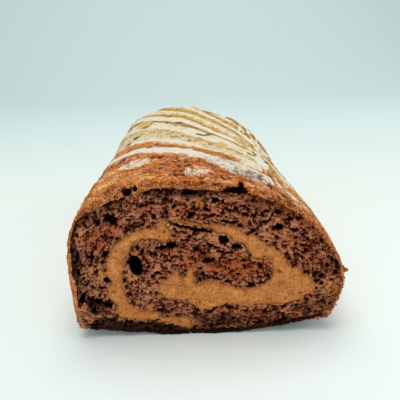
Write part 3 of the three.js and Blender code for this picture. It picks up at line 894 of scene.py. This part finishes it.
# Where it is redder (+) or greyer (-): [x, z, half width, half height, how much]
WARMTH = [
    (10, 28.2, 13, 5.5, 0.9), (-3, 32.2, 7, 4, 0.7), (16, 7.7, 9, 3, 0.6), (-18, 8.2, 6, 2, 0.5),
    (27, 48.2, 7, 4, 0.5), (6, 50.2, 14, 3, 0.45), (28, 38.2, 8, 4, 0.5), (-37, 39.2, 5, 5, 0.6),
    (-16, 51.2, 10, 3, 0.4), (38, 29.2, 5, 6, 0.3), (-42, 25.2, 6, 14, -0.7), (-34, 5.2, 14, 3, -0.9),
    (-8, 56.7, 17, 2.6, -0.8), (40, 15.2, 6, 4, -0.4), (-40, 49.2, 7, 4, -0.5),
    (-17, 43.2, 6, 3, -0.4), (8, 5.2, 9, 2.4, -0.3), (-25, 23.2, 6, 5, -0.2), (-31, 44, 4, 4, 0.8),
    (-37, 19.5, 5, 2, 0.8), (12, 27, 9, 4, 0.4),
]
# Height of the dark crust over the foot of the cut end: [x, height] in mm
UNDER_CRUST = [
    (-46.4, 0), (-43, 3.4), (-36, 4.2), (-26, 5), (-20, 5.2), (-14, 4.6), (-9, 3.4), (-4, 2.4), (8, 2),
    (26, 2), (36, 2.4), (42, 1.6), (46, 0),
]
# Where cream was dragged over the crumb: [x, z, half width, half height, how thick]
SMEARS = [
    (-38.6, 25.8, 4, 2.2, 1), (-41.4, 29.2, 3, 2, 0.7), (-37, 28.6, 2, 2.4, 0.9),
    (-26.6, 25.2, 3.6, 1.5, 0.8), (2.6, 39.8, 2.6, 2, 0.9), (-0.6, 40.8, 2, 1.4, 0.5),
    (13.8, 34.4, 1.8, 2.8, 0.9), (44, 20.2, 3.2, 2.2, 1), (46.6, 20.8, 1.6, 1.6, 0.8),
    (-1, 53.6, 4, 1.2, 0.35), (36.4, 26.6, 3, 1.1, 0.7), (-22.3, 55.2, 1.6, 3.2, 0.45),
    (-38.2, 18.8, 2.4, 1.6, 0.4), (-22.2, 19, 1, 2.4, 0.5), (-12.4, 41, 1.6, 2, 0.6),
    (-33.6, 38.8, 2, 1.2, 0.4), (38, 15.2, 2, 1.4, 0.5), (-14, 46.4, 3, 0.8, 0.6),
    (-15.4, 43.6, 3, 2.4, 0.7), (-10, 46.4, 4, 0.8, 0.5), (-41, 26.6, 3.4, 2.4, 0.6),
]


def reach_from(x, z, polygon):
    """The distance from the polygon's edge, negative inside it."""
    nearest = np.full(x.shape, np.inf)
    inside = np.zeros(x.shape, bool)
    for (ax, az), (bx, bz) in zip(polygon, np.roll(polygon, -1, 0)):
        dx, dz = bx - ax, bz - az
        t = np.clip(((x - ax) * dx + (z - az) * dz) / max(dx * dx + dz * dz, 1e-12), 0, 1)
        nearest = np.minimum(nearest, (x - ax - t * dx) ** 2 + (z - az - t * dz) ** 2)
        if az != bz:
            crosses = (az > z) != (bz > z)
            inside ^= crosses & (x < ax + (z - az) * dx / dz)
    return np.where(inside, -1, 1) * np.sqrt(nearest)


def sheet_line():
    """Points of the rolled sheet's middle and skin: [x, z, heading x, heading z, way along]."""
    lines = []
    for points in (smooth_line(CREAM_ROUTE, False, 12)[:, :2], ring[::4]):
        ahead = unit(np.gradient(points, axis=0))
        lines.append(np.column_stack([points, ahead, way_along(points)]))
    return np.vstack(lines)


SHEET_LINE = sheet_line()


def along_sheet(x, z):
    """How far along the rolled sheet each place lies, and how far across it."""
    nearest = np.full(x.shape, np.inf)
    along, over = np.zeros(x.shape), np.zeros(x.shape)
    for px, pz, ax, az, way in SHEET_LINE:
        dx, dz = x - px, z - pz
        away = dx * dx + dz * dz
        closer = away < nearest
        nearest[closer] = away[closer]
        along[closer] = (way + dx * ax + dz * az)[closer]
        over[closer] = (dz * ax - dx * az)[closer]
    return along, over


def blotched(x, z, patches, seed):
    """The sum of soft ragged patches at each place."""
    total = np.zeros(x.shape)
    u = x + layered(x, z, BLOTCHES_FRAYED, seed)
    v = z + layered(x, z, BLOTCHES_FRAYED, seed + 2)
    for cx, cz, wide, high, much in patches:
        away = np.hypot((u - cx) / wide, (v - cz) / high)
        total += much * (1 - ease(away, 0.45, 1.3))
    return total


def smeared_at(x, z, smears, seed):
    return np.clip(blotched(x, z, smears, seed + 20), 0, 1)


def torn_face(step, hollows, smears, seed):
    """The places across the cut end and how deep the torn crumb lies behind the cut there."""
    across = np.arange(FACE_LOW[0], FACE_HIGH[0] + step / 2, step)
    up = np.arange(FACE_LOW[1], FACE_HIGH[1] + step / 2, step)
    x, z = np.meshgrid(across, up)
    rng = np.random.default_rng(seed)
    u = x + layered(x, z, WALLS_BENT, seed)
    v = z + layered(x, z, WALLS_BENT, seed + 2)
    along, over = along_sheet(u, v)
    foam = 0.08 * lumps(x, z, 5, seed + 33)
    for number, (much, longer, size) in enumerate(FOAM):
        foam += much * lumps(along / longer, over, size, seed + 30 + number)
    depth = WALLS_DEEP + layered(x, z, WALLS_BACK, seed)
    depth += PORES_DEEP * ease(foam, *PORES_FROM) - 0.25 * ease(-foam, 0.1, 0.6)
    ragged = layered(x, z, HOLLOWS_FRAYED, seed)

    def press(cx, cz, half_long, half_short, turn, sink, most):
        patch = part_within(across, up, cx, cz, max(half_long, half_short) + 0.6)
        a, b = turned(u[patch] - cx, v[patch] - cz, turn)
        far = ((a / half_long) ** 2 + (b / half_short) ** 2) * (1 + 1.1 * ragged[patch])
        hole = sink + most * np.sqrt(np.clip(1 - far, 0, 1)) + 0.6 * ragged[patch]
        depth[patch] = np.where(far < 1, np.maximum(depth[patch], hole), depth[patch])

    area = (across[-1] - across[0]) * (up[-1] - up[0]) / 100
    for count, small, large in BUBBLES:
        count = int(count * area)
        spots = rng.uniform((across[0], up[0]), (across[-1], up[-1]), (count, 2))
        radii = rng.uniform(small, large, count)
        stretch = rng.uniform(1.0, 2.1, count)
        sinks = rng.uniform(-0.3, 0.5, count)
        tilt = rng.normal(0, 0.45, count)
        keep = rng.random(count) < 0.6 + layered(*spots.T, BUBBLES_CROWDED, seed)
        drawn = np.column_stack([spots, radii, stretch, sinks, tilt])[keep]
        for cx, cz, radius, longer, sink, tip in drawn:
            near = SHEET_LINE[np.argmin((SHEET_LINE[:, 0] - cx) ** 2 + (SHEET_LINE[:, 1] - cz) ** 2)]
            heading = atan2(near[3], near[2]) + tip
            press(cx, cz, radius * longer, radius, heading, sink * radius, BUBBLE_DEPTH * radius)
    film = FILM_DEEP + 0.1 * lumps(x, z, 1.3, seed + 12)
    covered = np.minimum(depth, film + 0.5 * (depth - film))
    depth = depth + smeared_at(x, z, smears, seed) * 0.7 * (covered - depth)
    for cx, cz, width, height, most, turn in hollows:
        press(cx, cz, width / 2, height / 2, radians(turn), 0.2, most)
    return x, z, depth


def cut_lattice(name, x, z, depth, front, thick):
    """A closed slab with the depths given on its cut side and a flat back inside the roll."""
    inward = 1 if front else -1
    slab = bent_grid(name, x, inward * (depth - HALF), z)
    bpy.ops.object.mode_set(mode="EDIT")
    bpy.ops.mesh.select_mode(type="EDGE")
    bpy.ops.mesh.select_all(action="DESELECT")
    bpy.ops.mesh.select_non_manifold()
    length = (0, inward * 2 * thick * MM, 0)
    bpy.ops.mesh.extrude_edges_move(TRANSFORM_OT_translate={"value": length})
    bpy.ops.object.mode_set(mode="OBJECT")
    co = places(slab)
    co[x.size:, 1] = inward * (thick - HALF)
    place(slab, co)
    close_open_edges(slab)
    return slab


# Where the cream shows on the front end, with the knife's drags and the crumb's bits in it, from
# the tip of its tail along the outer side to the core and back along the inner side. [x, z]
CREAM_CUT = [
    (-6.3, 3.4), (-8.5, 3.1), (-11.5, 4), (-14.5, 5.2), (-17, 6.1), (-20, 6.5), (-25, 7), (-30, 7.6),
    (-32.5, 8.6), (-33.2, 10.7), (-33.6, 13.7), (-34.6, 16.2), (-35.6, 18.2), (-36.2, 20.2),
    (-35.4, 21.8), (-34.5, 23.4), (-35.3, 25.5), (-36.8, 26.7), (-35.4, 28.4), (-35.8, 30.5),
    (-34.8, 32.2), (-34.2, 34.2), (-33.3, 36.2), (-32.2, 37.8), (-30.4, 39.3), (-28.2, 40.9),
    (-26.6, 42), (-24.8, 42.9), (-22.6, 43.6), (-20.6, 44.3), (-18.8, 44.3), (-17.2, 45.6),
    (-15.4, 47), (-12.6, 47.2), (-9.6, 46.9), (-6, 46.4), (-2.4, 45.7), (1, 45), (3.4, 44.9),
    (6, 44.6), (9, 44.2), (11, 43.2), (12.4, 41.8), (13.6, 40.6), (16, 40.6), (18, 39.6), (20, 37.8),
    (22.5, 35.9), (25, 35.1), (26.6, 33.4), (28, 31.2), (29.4, 28.8), (30.4, 26.9), (32.2, 27.5),
    (34, 26.6), (34.4, 24.6), (36.4, 23.8), (37.6, 22), (39, 20), (39.3, 18.2), (38, 16.5),
    (36.5, 15.4), (34, 14.1), (31, 13), (28, 11.9), (25, 12.1), (20, 11.8), (15, 11.6), (10, 12),
    (7, 12.4), (3.5, 11.8), (0, 10.6), (-2.5, 10.8), (-5, 12.7), (-7.5, 14.2), (-10.5, 14.8),
    (-13.5, 15.5), (-15.8, 17.2), (-17.2, 19), (-17.3, 21.2), (-16.2, 23.6), (-13.8, 24.2),
    (-12.4, 25.8), (-11.2, 27.4), (-9.9, 27.4), (-9.5, 25.2), (-8, 24.8), (-7, 27.2), (-6, 28.8),
    (-4.8, 28.2), (-4.4, 25.2), (-4.6, 22.5), (-3.2, 21.6), (-1, 22.4), (1, 23.1), (3, 22.8),
    (6, 21.9), (8, 20.8), (11, 19.8), (14, 19.2), (16, 19.4), (19, 20.4), (21.5, 21.8), (23, 23.2),
    (23.3, 25.2), (23.2, 28.2), (22.4, 30.8), (20.5, 31.7), (18.5, 31.1), (16.2, 31.3), (15.2, 32.7),
    (14, 34.8), (12.6, 36.8), (10.6, 38), (8.6, 39.4), (6.4, 41.2), (4.4, 41.6), (2.8, 42.6),
    (1, 43.4), (-2, 44.1), (-6, 44.9), (-9.6, 46), (-12.2, 46.3), (-13.4, 45), (-12, 43.6),
    (-11.4, 42.2), (-12.2, 40.8), (-13, 39.4), (-15.2, 38.8), (-17.4, 39.3), (-20, 39.8),
    (-22.2, 39.4), (-24.4, 38.2), (-26.2, 36), (-27.6, 33.2), (-28.2, 31.2), (-28.6, 29.2),
    (-29.6, 27.2), (-29.9, 25.2), (-30, 23.2), (-30.2, 21.2), (-29.5, 19.2), (-29.2, 16.7),
    (-28.4, 14.7), (-27, 13.1), (-25.5, 11.8), (-23, 10.9), (-20.5, 10.2), (-18, 10), (-16.8, 9.4),
    (-16.4, 8.1), (-13.5, 8.2), (-10, 7.8), (-7, 7.6), (-6.1, 6.8), (-5.9, 5.2),
]
front_cream = smooth_line(CREAM_CUT, True, 4)
back_cream = cream_section(0)


SLOT_INSET = 0.5  # how far the crumb reaches in under the cream's edge


def shrunk(polygon, inset):
    """The polygon drawn in on every side, as the slot that the cream's end fills in the crumb."""
    ahead = np.roll(polygon, -1, 0)
    inward = left_of(unit(ahead - np.roll(polygon, 1, 0)))
    area = np.sum(polygon[:, 0] * ahead[:, 1] - ahead[:, 0] * polygon[:, 1])
    return polygon + inset * inward * np.sign(area)


def crumb_end(name, step, hollows, smears, seed, front, edge, cream_polygon):
    """The torn crumb of a cut end, set in the crust's edge, with a slot for the cream's end."""
    x, z, depth = torn_face(step, hollows, smears, seed)
    depth += 1.4 * ease(-reach_from(x, z, cream_polygon), -0.1, 0.8)
    slab = cut_lattice(name, x, z, np.clip(depth, -0.4, RECESS - 0.6), front, RECESS)
    combine(slab, bar_along(edge, *across_cut(front, 3, RECESS + 1)), "INTERSECT")
    slot = shrunk(cream_polygon, SLOT_INSET)
    combine(slab, bar_along(slot, *across_cut(front, 4, RECESS + 2)))
    if front:
        tear_hollows(slab, EDGE_HOLLOWS, EDGE_HOLLOWS_ROUGH, 300)
        tear_hollows(slab, CLEAN_HOLLOWS, CLEAN_HOLLOWS_ROUGH, 330)
    x, y, z = places(slab).T
    _, inside = way_round(x, z)
    above = inside - np.interp(x, *np.array(UNDER_CRUST).T) + 0.5 * lumps(x, 0, 2.5, 82)
    foot = (1 - ease(above, -0.5, 0.7)) * (1 - ease(z, 8, 10))
    attributes(
        slab, depth=HALF - np.abs(y), from_crust=inside,
        from_cream=reach_from(x, z, cream_polygon),
        shade=blotched(x, z, SHADES if front else [], 81) - foot,
        warmth=blotched(x, z, WARMTH if front else [], 86),
        smeared=smeared_at(x, z, smears, seed),
    )
    return slab


all_hollows = HOLLOWS + [
    (x, z, width, height, SMALL_DEPTH, *(turn or [0])) for x, z, width, height, *turn in SMALL_HOLLOWS
]
crumb_front = crumb_end(
    "sponge_crumb_front", step=0.204, hollows=all_hollows, smears=SMEARS, seed=51, front=True,
    edge=front_edge, cream_polygon=front_cream,
)
# The back end's hollows and smears are some of the front's, seen from behind.
back_hollows = [(-x, z, w, h, d, -turn) for x, z, w, h, d, turn in HOLLOWS[5::2] if x < 30]
back_smears = [(-x, z, w, h, much) for x, z, w, h, much in SMEARS[::3]]
crumb_back = crumb_end(
    "sponge_crumb_back", step=0.36, hollows=back_hollows, smears=back_smears, seed=71, front=False,
    edge=back_edge, cream_polygon=back_cream,
)

finish, tree, surface = new_finish("open chocolate crumb", roughness=0.95, specular=0.06)
fine, coarse = grain(tree, surface, fine=2700, coarse=320, relief=0.0003)
warmth, shade_at = read(tree, "warmth"), read(tree, "shade")
from_crust = read(tree, "from_crust")
# The crumb's colour goes by how deep it lies behind the cut: pale on the crests, dark to black in pores and
# hollows, painted highlight and shade.
level = reckon("ADD", read(tree, "depth"), spread(fine, 1.8))
crumb_shaded_by_depth = ramp(between(level, -0.3, 1.8), [
    (0, 226, 158, 112), (0.12, 186, 118, 82), (0.26, 148, 87, 61), (0.44, 113, 61, 41),
    (0.66, 78, 33, 16), (0.86, 46, 12, 3), (1, 18, 4, 1),
])
reddish = reckon("ADD", spread(between(coarse, 0.38, 0.6), 0.35, 0), spread(warmth, 0.55, 0))
reddish = reckon("MULTIPLY", reckon("MAXIMUM", reddish, 0), between(level, 1.2, 0.4))
toned = mixed(reddish, crumb_shaded_by_depth, colour(168, 78, 38))
greyed = reckon("MAXIMUM", spread(warmth, -0.3, 0), 0)
greyed = reckon("MULTIPLY", greyed, between(level, 1.3, 0.3))
toned = mixed(greyed, toned, colour(98, 62, 52))
baked_edge = reckon("MULTIPLY", between(from_crust, 3.8, 1.4), 0.7, between(level, 1.3, 0.5))
toned = mixed(baked_edge, toned, colour(138, 72, 34))
# Darker in the dark patches, at the foot and near the crust: partly the crumb's tone, partly painted shade.
near_crust = between(from_crust, 4.5, 1.0)
darker = reckon("ADD", spread(shade_at, -1.1, 0), spread(near_crust, 0.2, 0))
darker = reckon("MINIMUM", reckon("MAXIMUM", darker, 0), 0.95)
DARK = (0.085, 0.06, 0.06, 1)  # the share of its colour that shaded crumb keeps
toned = mixed(darker, toned, DARK, "MULTIPLY")
# Paler in the pale patches: partly the crumb's tone, partly painted highlight on lumps.
paler = reckon("MULTIPLY", reckon("MAXIMUM", shade_at, 0), 0.55, between(level, 1.0, 0.2))
toned = mixed(paler, toned, colour(206, 134, 84))
toned = varied(toned, middle=0.985, fine_much=0.5, coarse_much=0.3)
wandering = reckon("SUBTRACT", read(tree, "from_cream"), spread(coarse, 5.0))
creamed = reckon("MAXIMUM", read(tree, "smeared"), spread(between(wandering, 0.9, 0.0), 0.7, 0))
creamed = reckon("MULTIPLY", creamed, between(level, 1.0, 0.3), between(coarse, 0.3, 0.55))
tree.links.new(mixed(creamed, toned, colour(200, 132, 74)), surface.inputs["Base Color"])
for crumb in (crumb_front, crumb_back):
    dress(crumb, finish, "sponge")


# ---- The cream ----
# Whipped brown cream spread on the sheet before it was rolled, so that it winds from its tail
# under the roll to a lump in the core, right through the roll. The knife dragged it over the
# crumb's edges, left faint streaks across it and pressed crumbs into it.

# Pits and pressed-in crumbs on the front end: [x, z, radius]
CREAM_PITS = [
    (-31.3, 35.9, 0.6), (-5.2, 17.5, 0.5), (28.6, 14.6, 0.7), (25.6, 26, 1.1), (30.2, 25.8, 0.5),
    (-17.2, 44.4, 1), (-14.4, 42.6, 0.8), (-2.6, 14.2, 0.7), (-7.4, 14.8, 0.9), (-10.2, 6, 0.6),
    (-33.6, 19.6, 1), (20.6, 34.4, 0.7), (33.8, 16.8, 0.9), (1.8, 18.8, 0.5), (-31, 16.6, 0.6),
    (-17, 8.4, 1.3), (-18, 6.8, 0.9),
]

# Lumps that fray the cream's edge and that lie on it: [how much, size, seed]
RUN_OUT = [(0.45, 1.9, 0), (0.42, 0.9, 1), (0.3, 0.45, 8)]
CREAM_LUMPS = [(0.14, 2.8, 3), (0.1, 0.9, 6), (0.08, 0.5, 7)]
CREAM_DEEP = 0.2  # mm behind the cut
RUN_OUT_SLOPE = 16


def cream_end(step, seed, front, polygon, pits):
    """The cream's end that the knife cut: it runs out raggedly over the crumb at its edges."""
    across = np.arange(FACE_LOW[0] + 10, FACE_HIGH[0] - 8, step)
    up = np.arange(0.6, 53.4, step)
    x, z = np.meshgrid(across, up)
    beyond = reach_from(x, z, polygon) + layered(x, z, RUN_OUT, seed)
    streak = lumps(x / 5, z + 0.2 * x, 0.8, seed + 2)
    depth = CREAM_DEEP + 0.1 * streak + layered(x, z, CREAM_LUMPS, seed)
    depth += 0.7 * ease(beyond, -1.3, 0.3) * (0.5 + 0.5 * lumps(x, z, 0.8, seed + 4))
    for cx, cz, radius in pits:
        bent = 0.6 * radius * lumps(x, z, 0.7, seed + 5)
        away = np.hypot(x - cx + bent, z - cz - bent) / radius
        depth += 0.4 * radius * (1 - ease(away, 0.2, 1.1))
    depth += RUN_OUT_SLOPE * np.clip(beyond - 0.15, 0, 0.7)
    slab = cut_lattice("cut", x, z, np.minimum(depth, RECESS + 1), front, RECESS + 2)
    slice_box = [(-60, -5), (60, -5), (60, 70), (-60, 70)]
    combine(slab, bar_along(slice_box, *across_cut(front, 2, RECESS)), "INTERSECT")
    return slab


cream = bar_along(back_cream, -HALF + 2, HALF - 2, "cream_filling")
for front, step, seed, polygon, pits in (
    (True, 0.26, 91, front_cream, CREAM_PITS), (False, 0.45, 95, back_cream, []),
):
    combine(cream, cream_end(step, seed, front, polygon, pits), "UNION")
x, y, z = places(cream).T
inside = -np.where(y < 0, reach_from(x, z, front_cream), reach_from(x, z, back_cream))
stuck = np.zeros(len(x))
for cx, cz, radius in CREAM_PITS:
    away = np.hypot(x - cx, z - cz) / radius
    stuck = np.maximum(stuck, (y < 0) * (1 - ease(away, 0.3, 1.1)))
attributes(cream, inside=inside, depth=HALF - np.abs(y), stuck=stuck)

finish, tree, surface = new_finish("brown cream", roughness=0.6, specular=0.25)
fine, coarse = grain(tree, surface, fine=1400, coarse=260, relief=0.0004)
depth = read(tree, "depth")
# Darker the deeper the cream lies behind the cut, in its dips and pits: painted shade.
tone = reckon("ADD", spread(coarse, 0.55), spread(fine, 1.0), spread(depth, -0.45, 0.2), 0.5)
tone = ramp(tone, [
    (0.24, 134, 74, 34), (0.38, 176, 100, 45), (0.5, 199, 119, 53), (0.6, 206, 131, 65),
    (0.76, 220, 154, 92),
])
# Crumb-brown where crumbs are stuck in it, at its frayed edge, and as painted shade where it sinks away
# behind the cut.
crumbs_and_shade = reckon("SUBTRACT", spread(fine, 6.0), read(tree, "inside"))
crumbs_and_shade = reckon("MAXIMUM", between(crumbs_and_shade, -1.0, 0.2), read(tree, "stuck"))
crumbs_and_shade = reckon("MAXIMUM", reckon("MULTIPLY", crumbs_and_shade, 0.5), between(depth, 0.6, 1.5))
tree.links.new(mixed(crumbs_and_shade, tone, colour(108, 56, 28)), surface.inputs["Base Color"])
dress(cream, finish, "cream")


# ---- The crags on the cut's edge ----
# Bits of crumb and crust that the knife tore and left standing along the edge of the cut end,
# most of them on the side and the foot that it left last. Torn sponge, drier and paler.

# [x, back of the cut, z, half sizes, turn]
CRAGS = [
    (48.9, 0.9, 25.2, 1.4, 0.8, 0.8, 12), (49.7, 0.8, 25.4, 0.7, 0.6, 0.5, 0),
    (44.6, 0.8, 8, 1.3, 1, 1.5, 20), (43.8, 0.6, 6.4, 1.2, 0.8, 0.8, 0),
    (45.9, 0.8, 9.8, 0.9, 0.8, 0.7, 0), (47.5, 0.7, 13.8, 0.8, 0.7, 0.9, 0),
    (-45.6, 0.1, 11.6, 1.4, 1, 1.7, 10), (-44.2, 0, 9.8, 1.2, 0.9, 1.1, 0),
    (-46, 0.2, 8.6, 1.1, 0.9, 1, 0), (-44.6, 0.2, 13.6, 1, 0.8, 1.1, 0),
    (-43.2, 0, 7.6, 1, 0.8, 0.8, 0), (-46.2, 0.3, 5.8, 1.2, 0.9, 1.3, 20),
    (-45, 0.3, 4.9, 1.3, 0.8, 0.9, 0), (-47.4, 0.4, 8, 0.8, 0.8, 1.3, 0),
    (-42.2, 0.1, 8.8, 1, 0.8, 1.1, 0),
]
# Small ones at random along the outline: [way round from, to, how many, half size from, to]
CRAG_RUNS = [
    (62, 90, 50, 0.28, 0.6), (-56, -30, 4, 0.2, 0.34), (14, 58, 12, 0.2, 0.38),
]

rng = np.random.default_rng(17)
eggs = [((x, back - HALF, z), (a, b, c), turn) for x, back, z, a, b, c, turn in CRAGS]
for low, high, count, small, large in CRAG_RUNS:
    for way, size, back, sunk, turn in rng.uniform(
        (low, small, 0.1, 0.3, 0), (high, large, 1.6, 1.1, 180), (count, 5)
    ):
        here, out = on_outline(np.array([way + CREST]))
        x, z = here[0] - size * sunk * out[0]
        eggs.append(((x, back - HALF, max(z, 0.8 * size)), (1.3 * size, size, 0.8 * size), turn))
crags = [
    rough_egg("sponge_crags", at, radii, turn, 0.5, 400 + 2 * number, 3)
    for number, (at, radii, turn) in enumerate(eggs)
]
pick(crags[0])
for crag in crags:
    crag.select_set(True)
bpy.ops.object.join()
crags = piece_named("sponge_crags")

finish, tree, surface = new_finish("torn bits of crumb", roughness=0.95, specular=0.06)
fine, coarse = grain(tree, surface, fine=2000, coarse=500, relief=0.0003)
tone = reckon("ADD", spread(coarse, 0.6, 0), spread(fine, 0.4, 0))
bits = ramp(tone, [
    (0.3, 44, 20, 10), (0.4, 110, 60, 36), (0.5, 168, 102, 66), (0.6, 224, 164, 122),
])
tree.links.new(bits, surface.inputs["Base Color"])
dress(crags, finish, "sponge")


# ---- The studio ----
# Pale paper swept up behind the roll, painted lighter in front of it where the roll's shadow falls,
# soft lamps above, and the camera before the cut end, looking down on it.

# The paper, in mm
SWEEP_WIDTH = 3200
SWEEP_NEAR = -1400
SWEEP_FAR = 500
SWEEP_RADIUS = 350
SWEEP_TOP = 1800

path = [(y, 0) for y in np.linspace(SWEEP_NEAR, SWEEP_FAR, 13)]
path += [
    (SWEEP_FAR + SWEEP_RADIUS * sin(a), SWEEP_RADIUS * (1 - cos(a)))
    for a in np.linspace(0, pi / 2, 17)[1:]
]
path = np.array(path + [(SWEEP_FAR + SWEEP_RADIUS, SWEEP_TOP)])
edges = np.array([-SWEEP_WIDTH / 2, SWEEP_WIDTH / 2])
sweep = bent_grid("paper_sweep", *np.broadcast_arrays(edges, path[:, :1], path[:, 1:]))
bpy.ops.object.shade_smooth()
finish, tree, surface = new_finish("paper with painted light", roughness=0.9, specular=0.1)
where = shade(tree, "ShaderNodeTexCoord").outputs["Object"]
far = shade(tree, "ShaderNodeSeparateXYZ", {"Vector": where}).outputs["Y"]
# Painted lighter in front of the roll, where its shadow falls, and a little greyer further back: painted
# light.
tone = ramp(between(far, -0.1, 0.3), [
    (0, 238, 246, 242), (0.41, 234, 240, 234), (0.9, 226, 237, 233), (1, 225, 238, 235),
])
tree.links.new(tone, surface.inputs["Base Color"])
sweep.data.materials.append(finish)

world = bpy.data.worlds.new("soft room")
world.use_nodes = True
sky = world.node_tree.nodes["Background"]
sky.inputs["Color"].default_value = (0.86, 0.94, 1.0, 1)
sky.inputs["Strength"].default_value = 0.5
bpy.context.scene.world = world

# [place, size, watts, colour]
LAMPS = [
    ((-0.05, -0.01, 0.8), 0.6, 3.9, (1, 0.98, 0.95)),
    ((-0.1, -0.9, 0.3), 0.8, 2, (0.96, 1, 0.96)),
    ((0.6, 0.2, 0.3), 0.5, 0.7, (1, 0.98, 0.94)),
]
LIT_PLACE = Vector((0, 0, 0.03))
for at, size, watts, tint in LAMPS:
    bpy.ops.object.light_add(type="AREA", location=at)
    lamp = bpy.context.object
    lamp.data.size = size
    lamp.data.energy = watts
    lamp.data.color = tint
    lamp.rotation_euler = (LIT_PLACE - Vector(at)).to_track_quat("-Z", "Y").to_euler()

EYE = (-0.0033, -0.2095, 0.1058)
PITCH, ROLL, YAW = radians(21.4), radians(-1.4), radians(-0.665)
bpy.ops.object.camera_add(location=EYE)
camera = bpy.context.object
camera.data.sensor_width = 36
camera.data.lens = 38.7
camera.data.clip_start = 0.01
aimed = Matrix.Rotation(YAW, 3, "Z") @ Matrix.Rotation(pi / 2 - PITCH, 3, "X")
camera.rotation_euler = (aimed @ Matrix.Rotation(ROLL, 3, "Z")).to_euler()
bpy.context.scene.camera = camera
bpy.context.scene.view_settings.view_transform = "Standard"
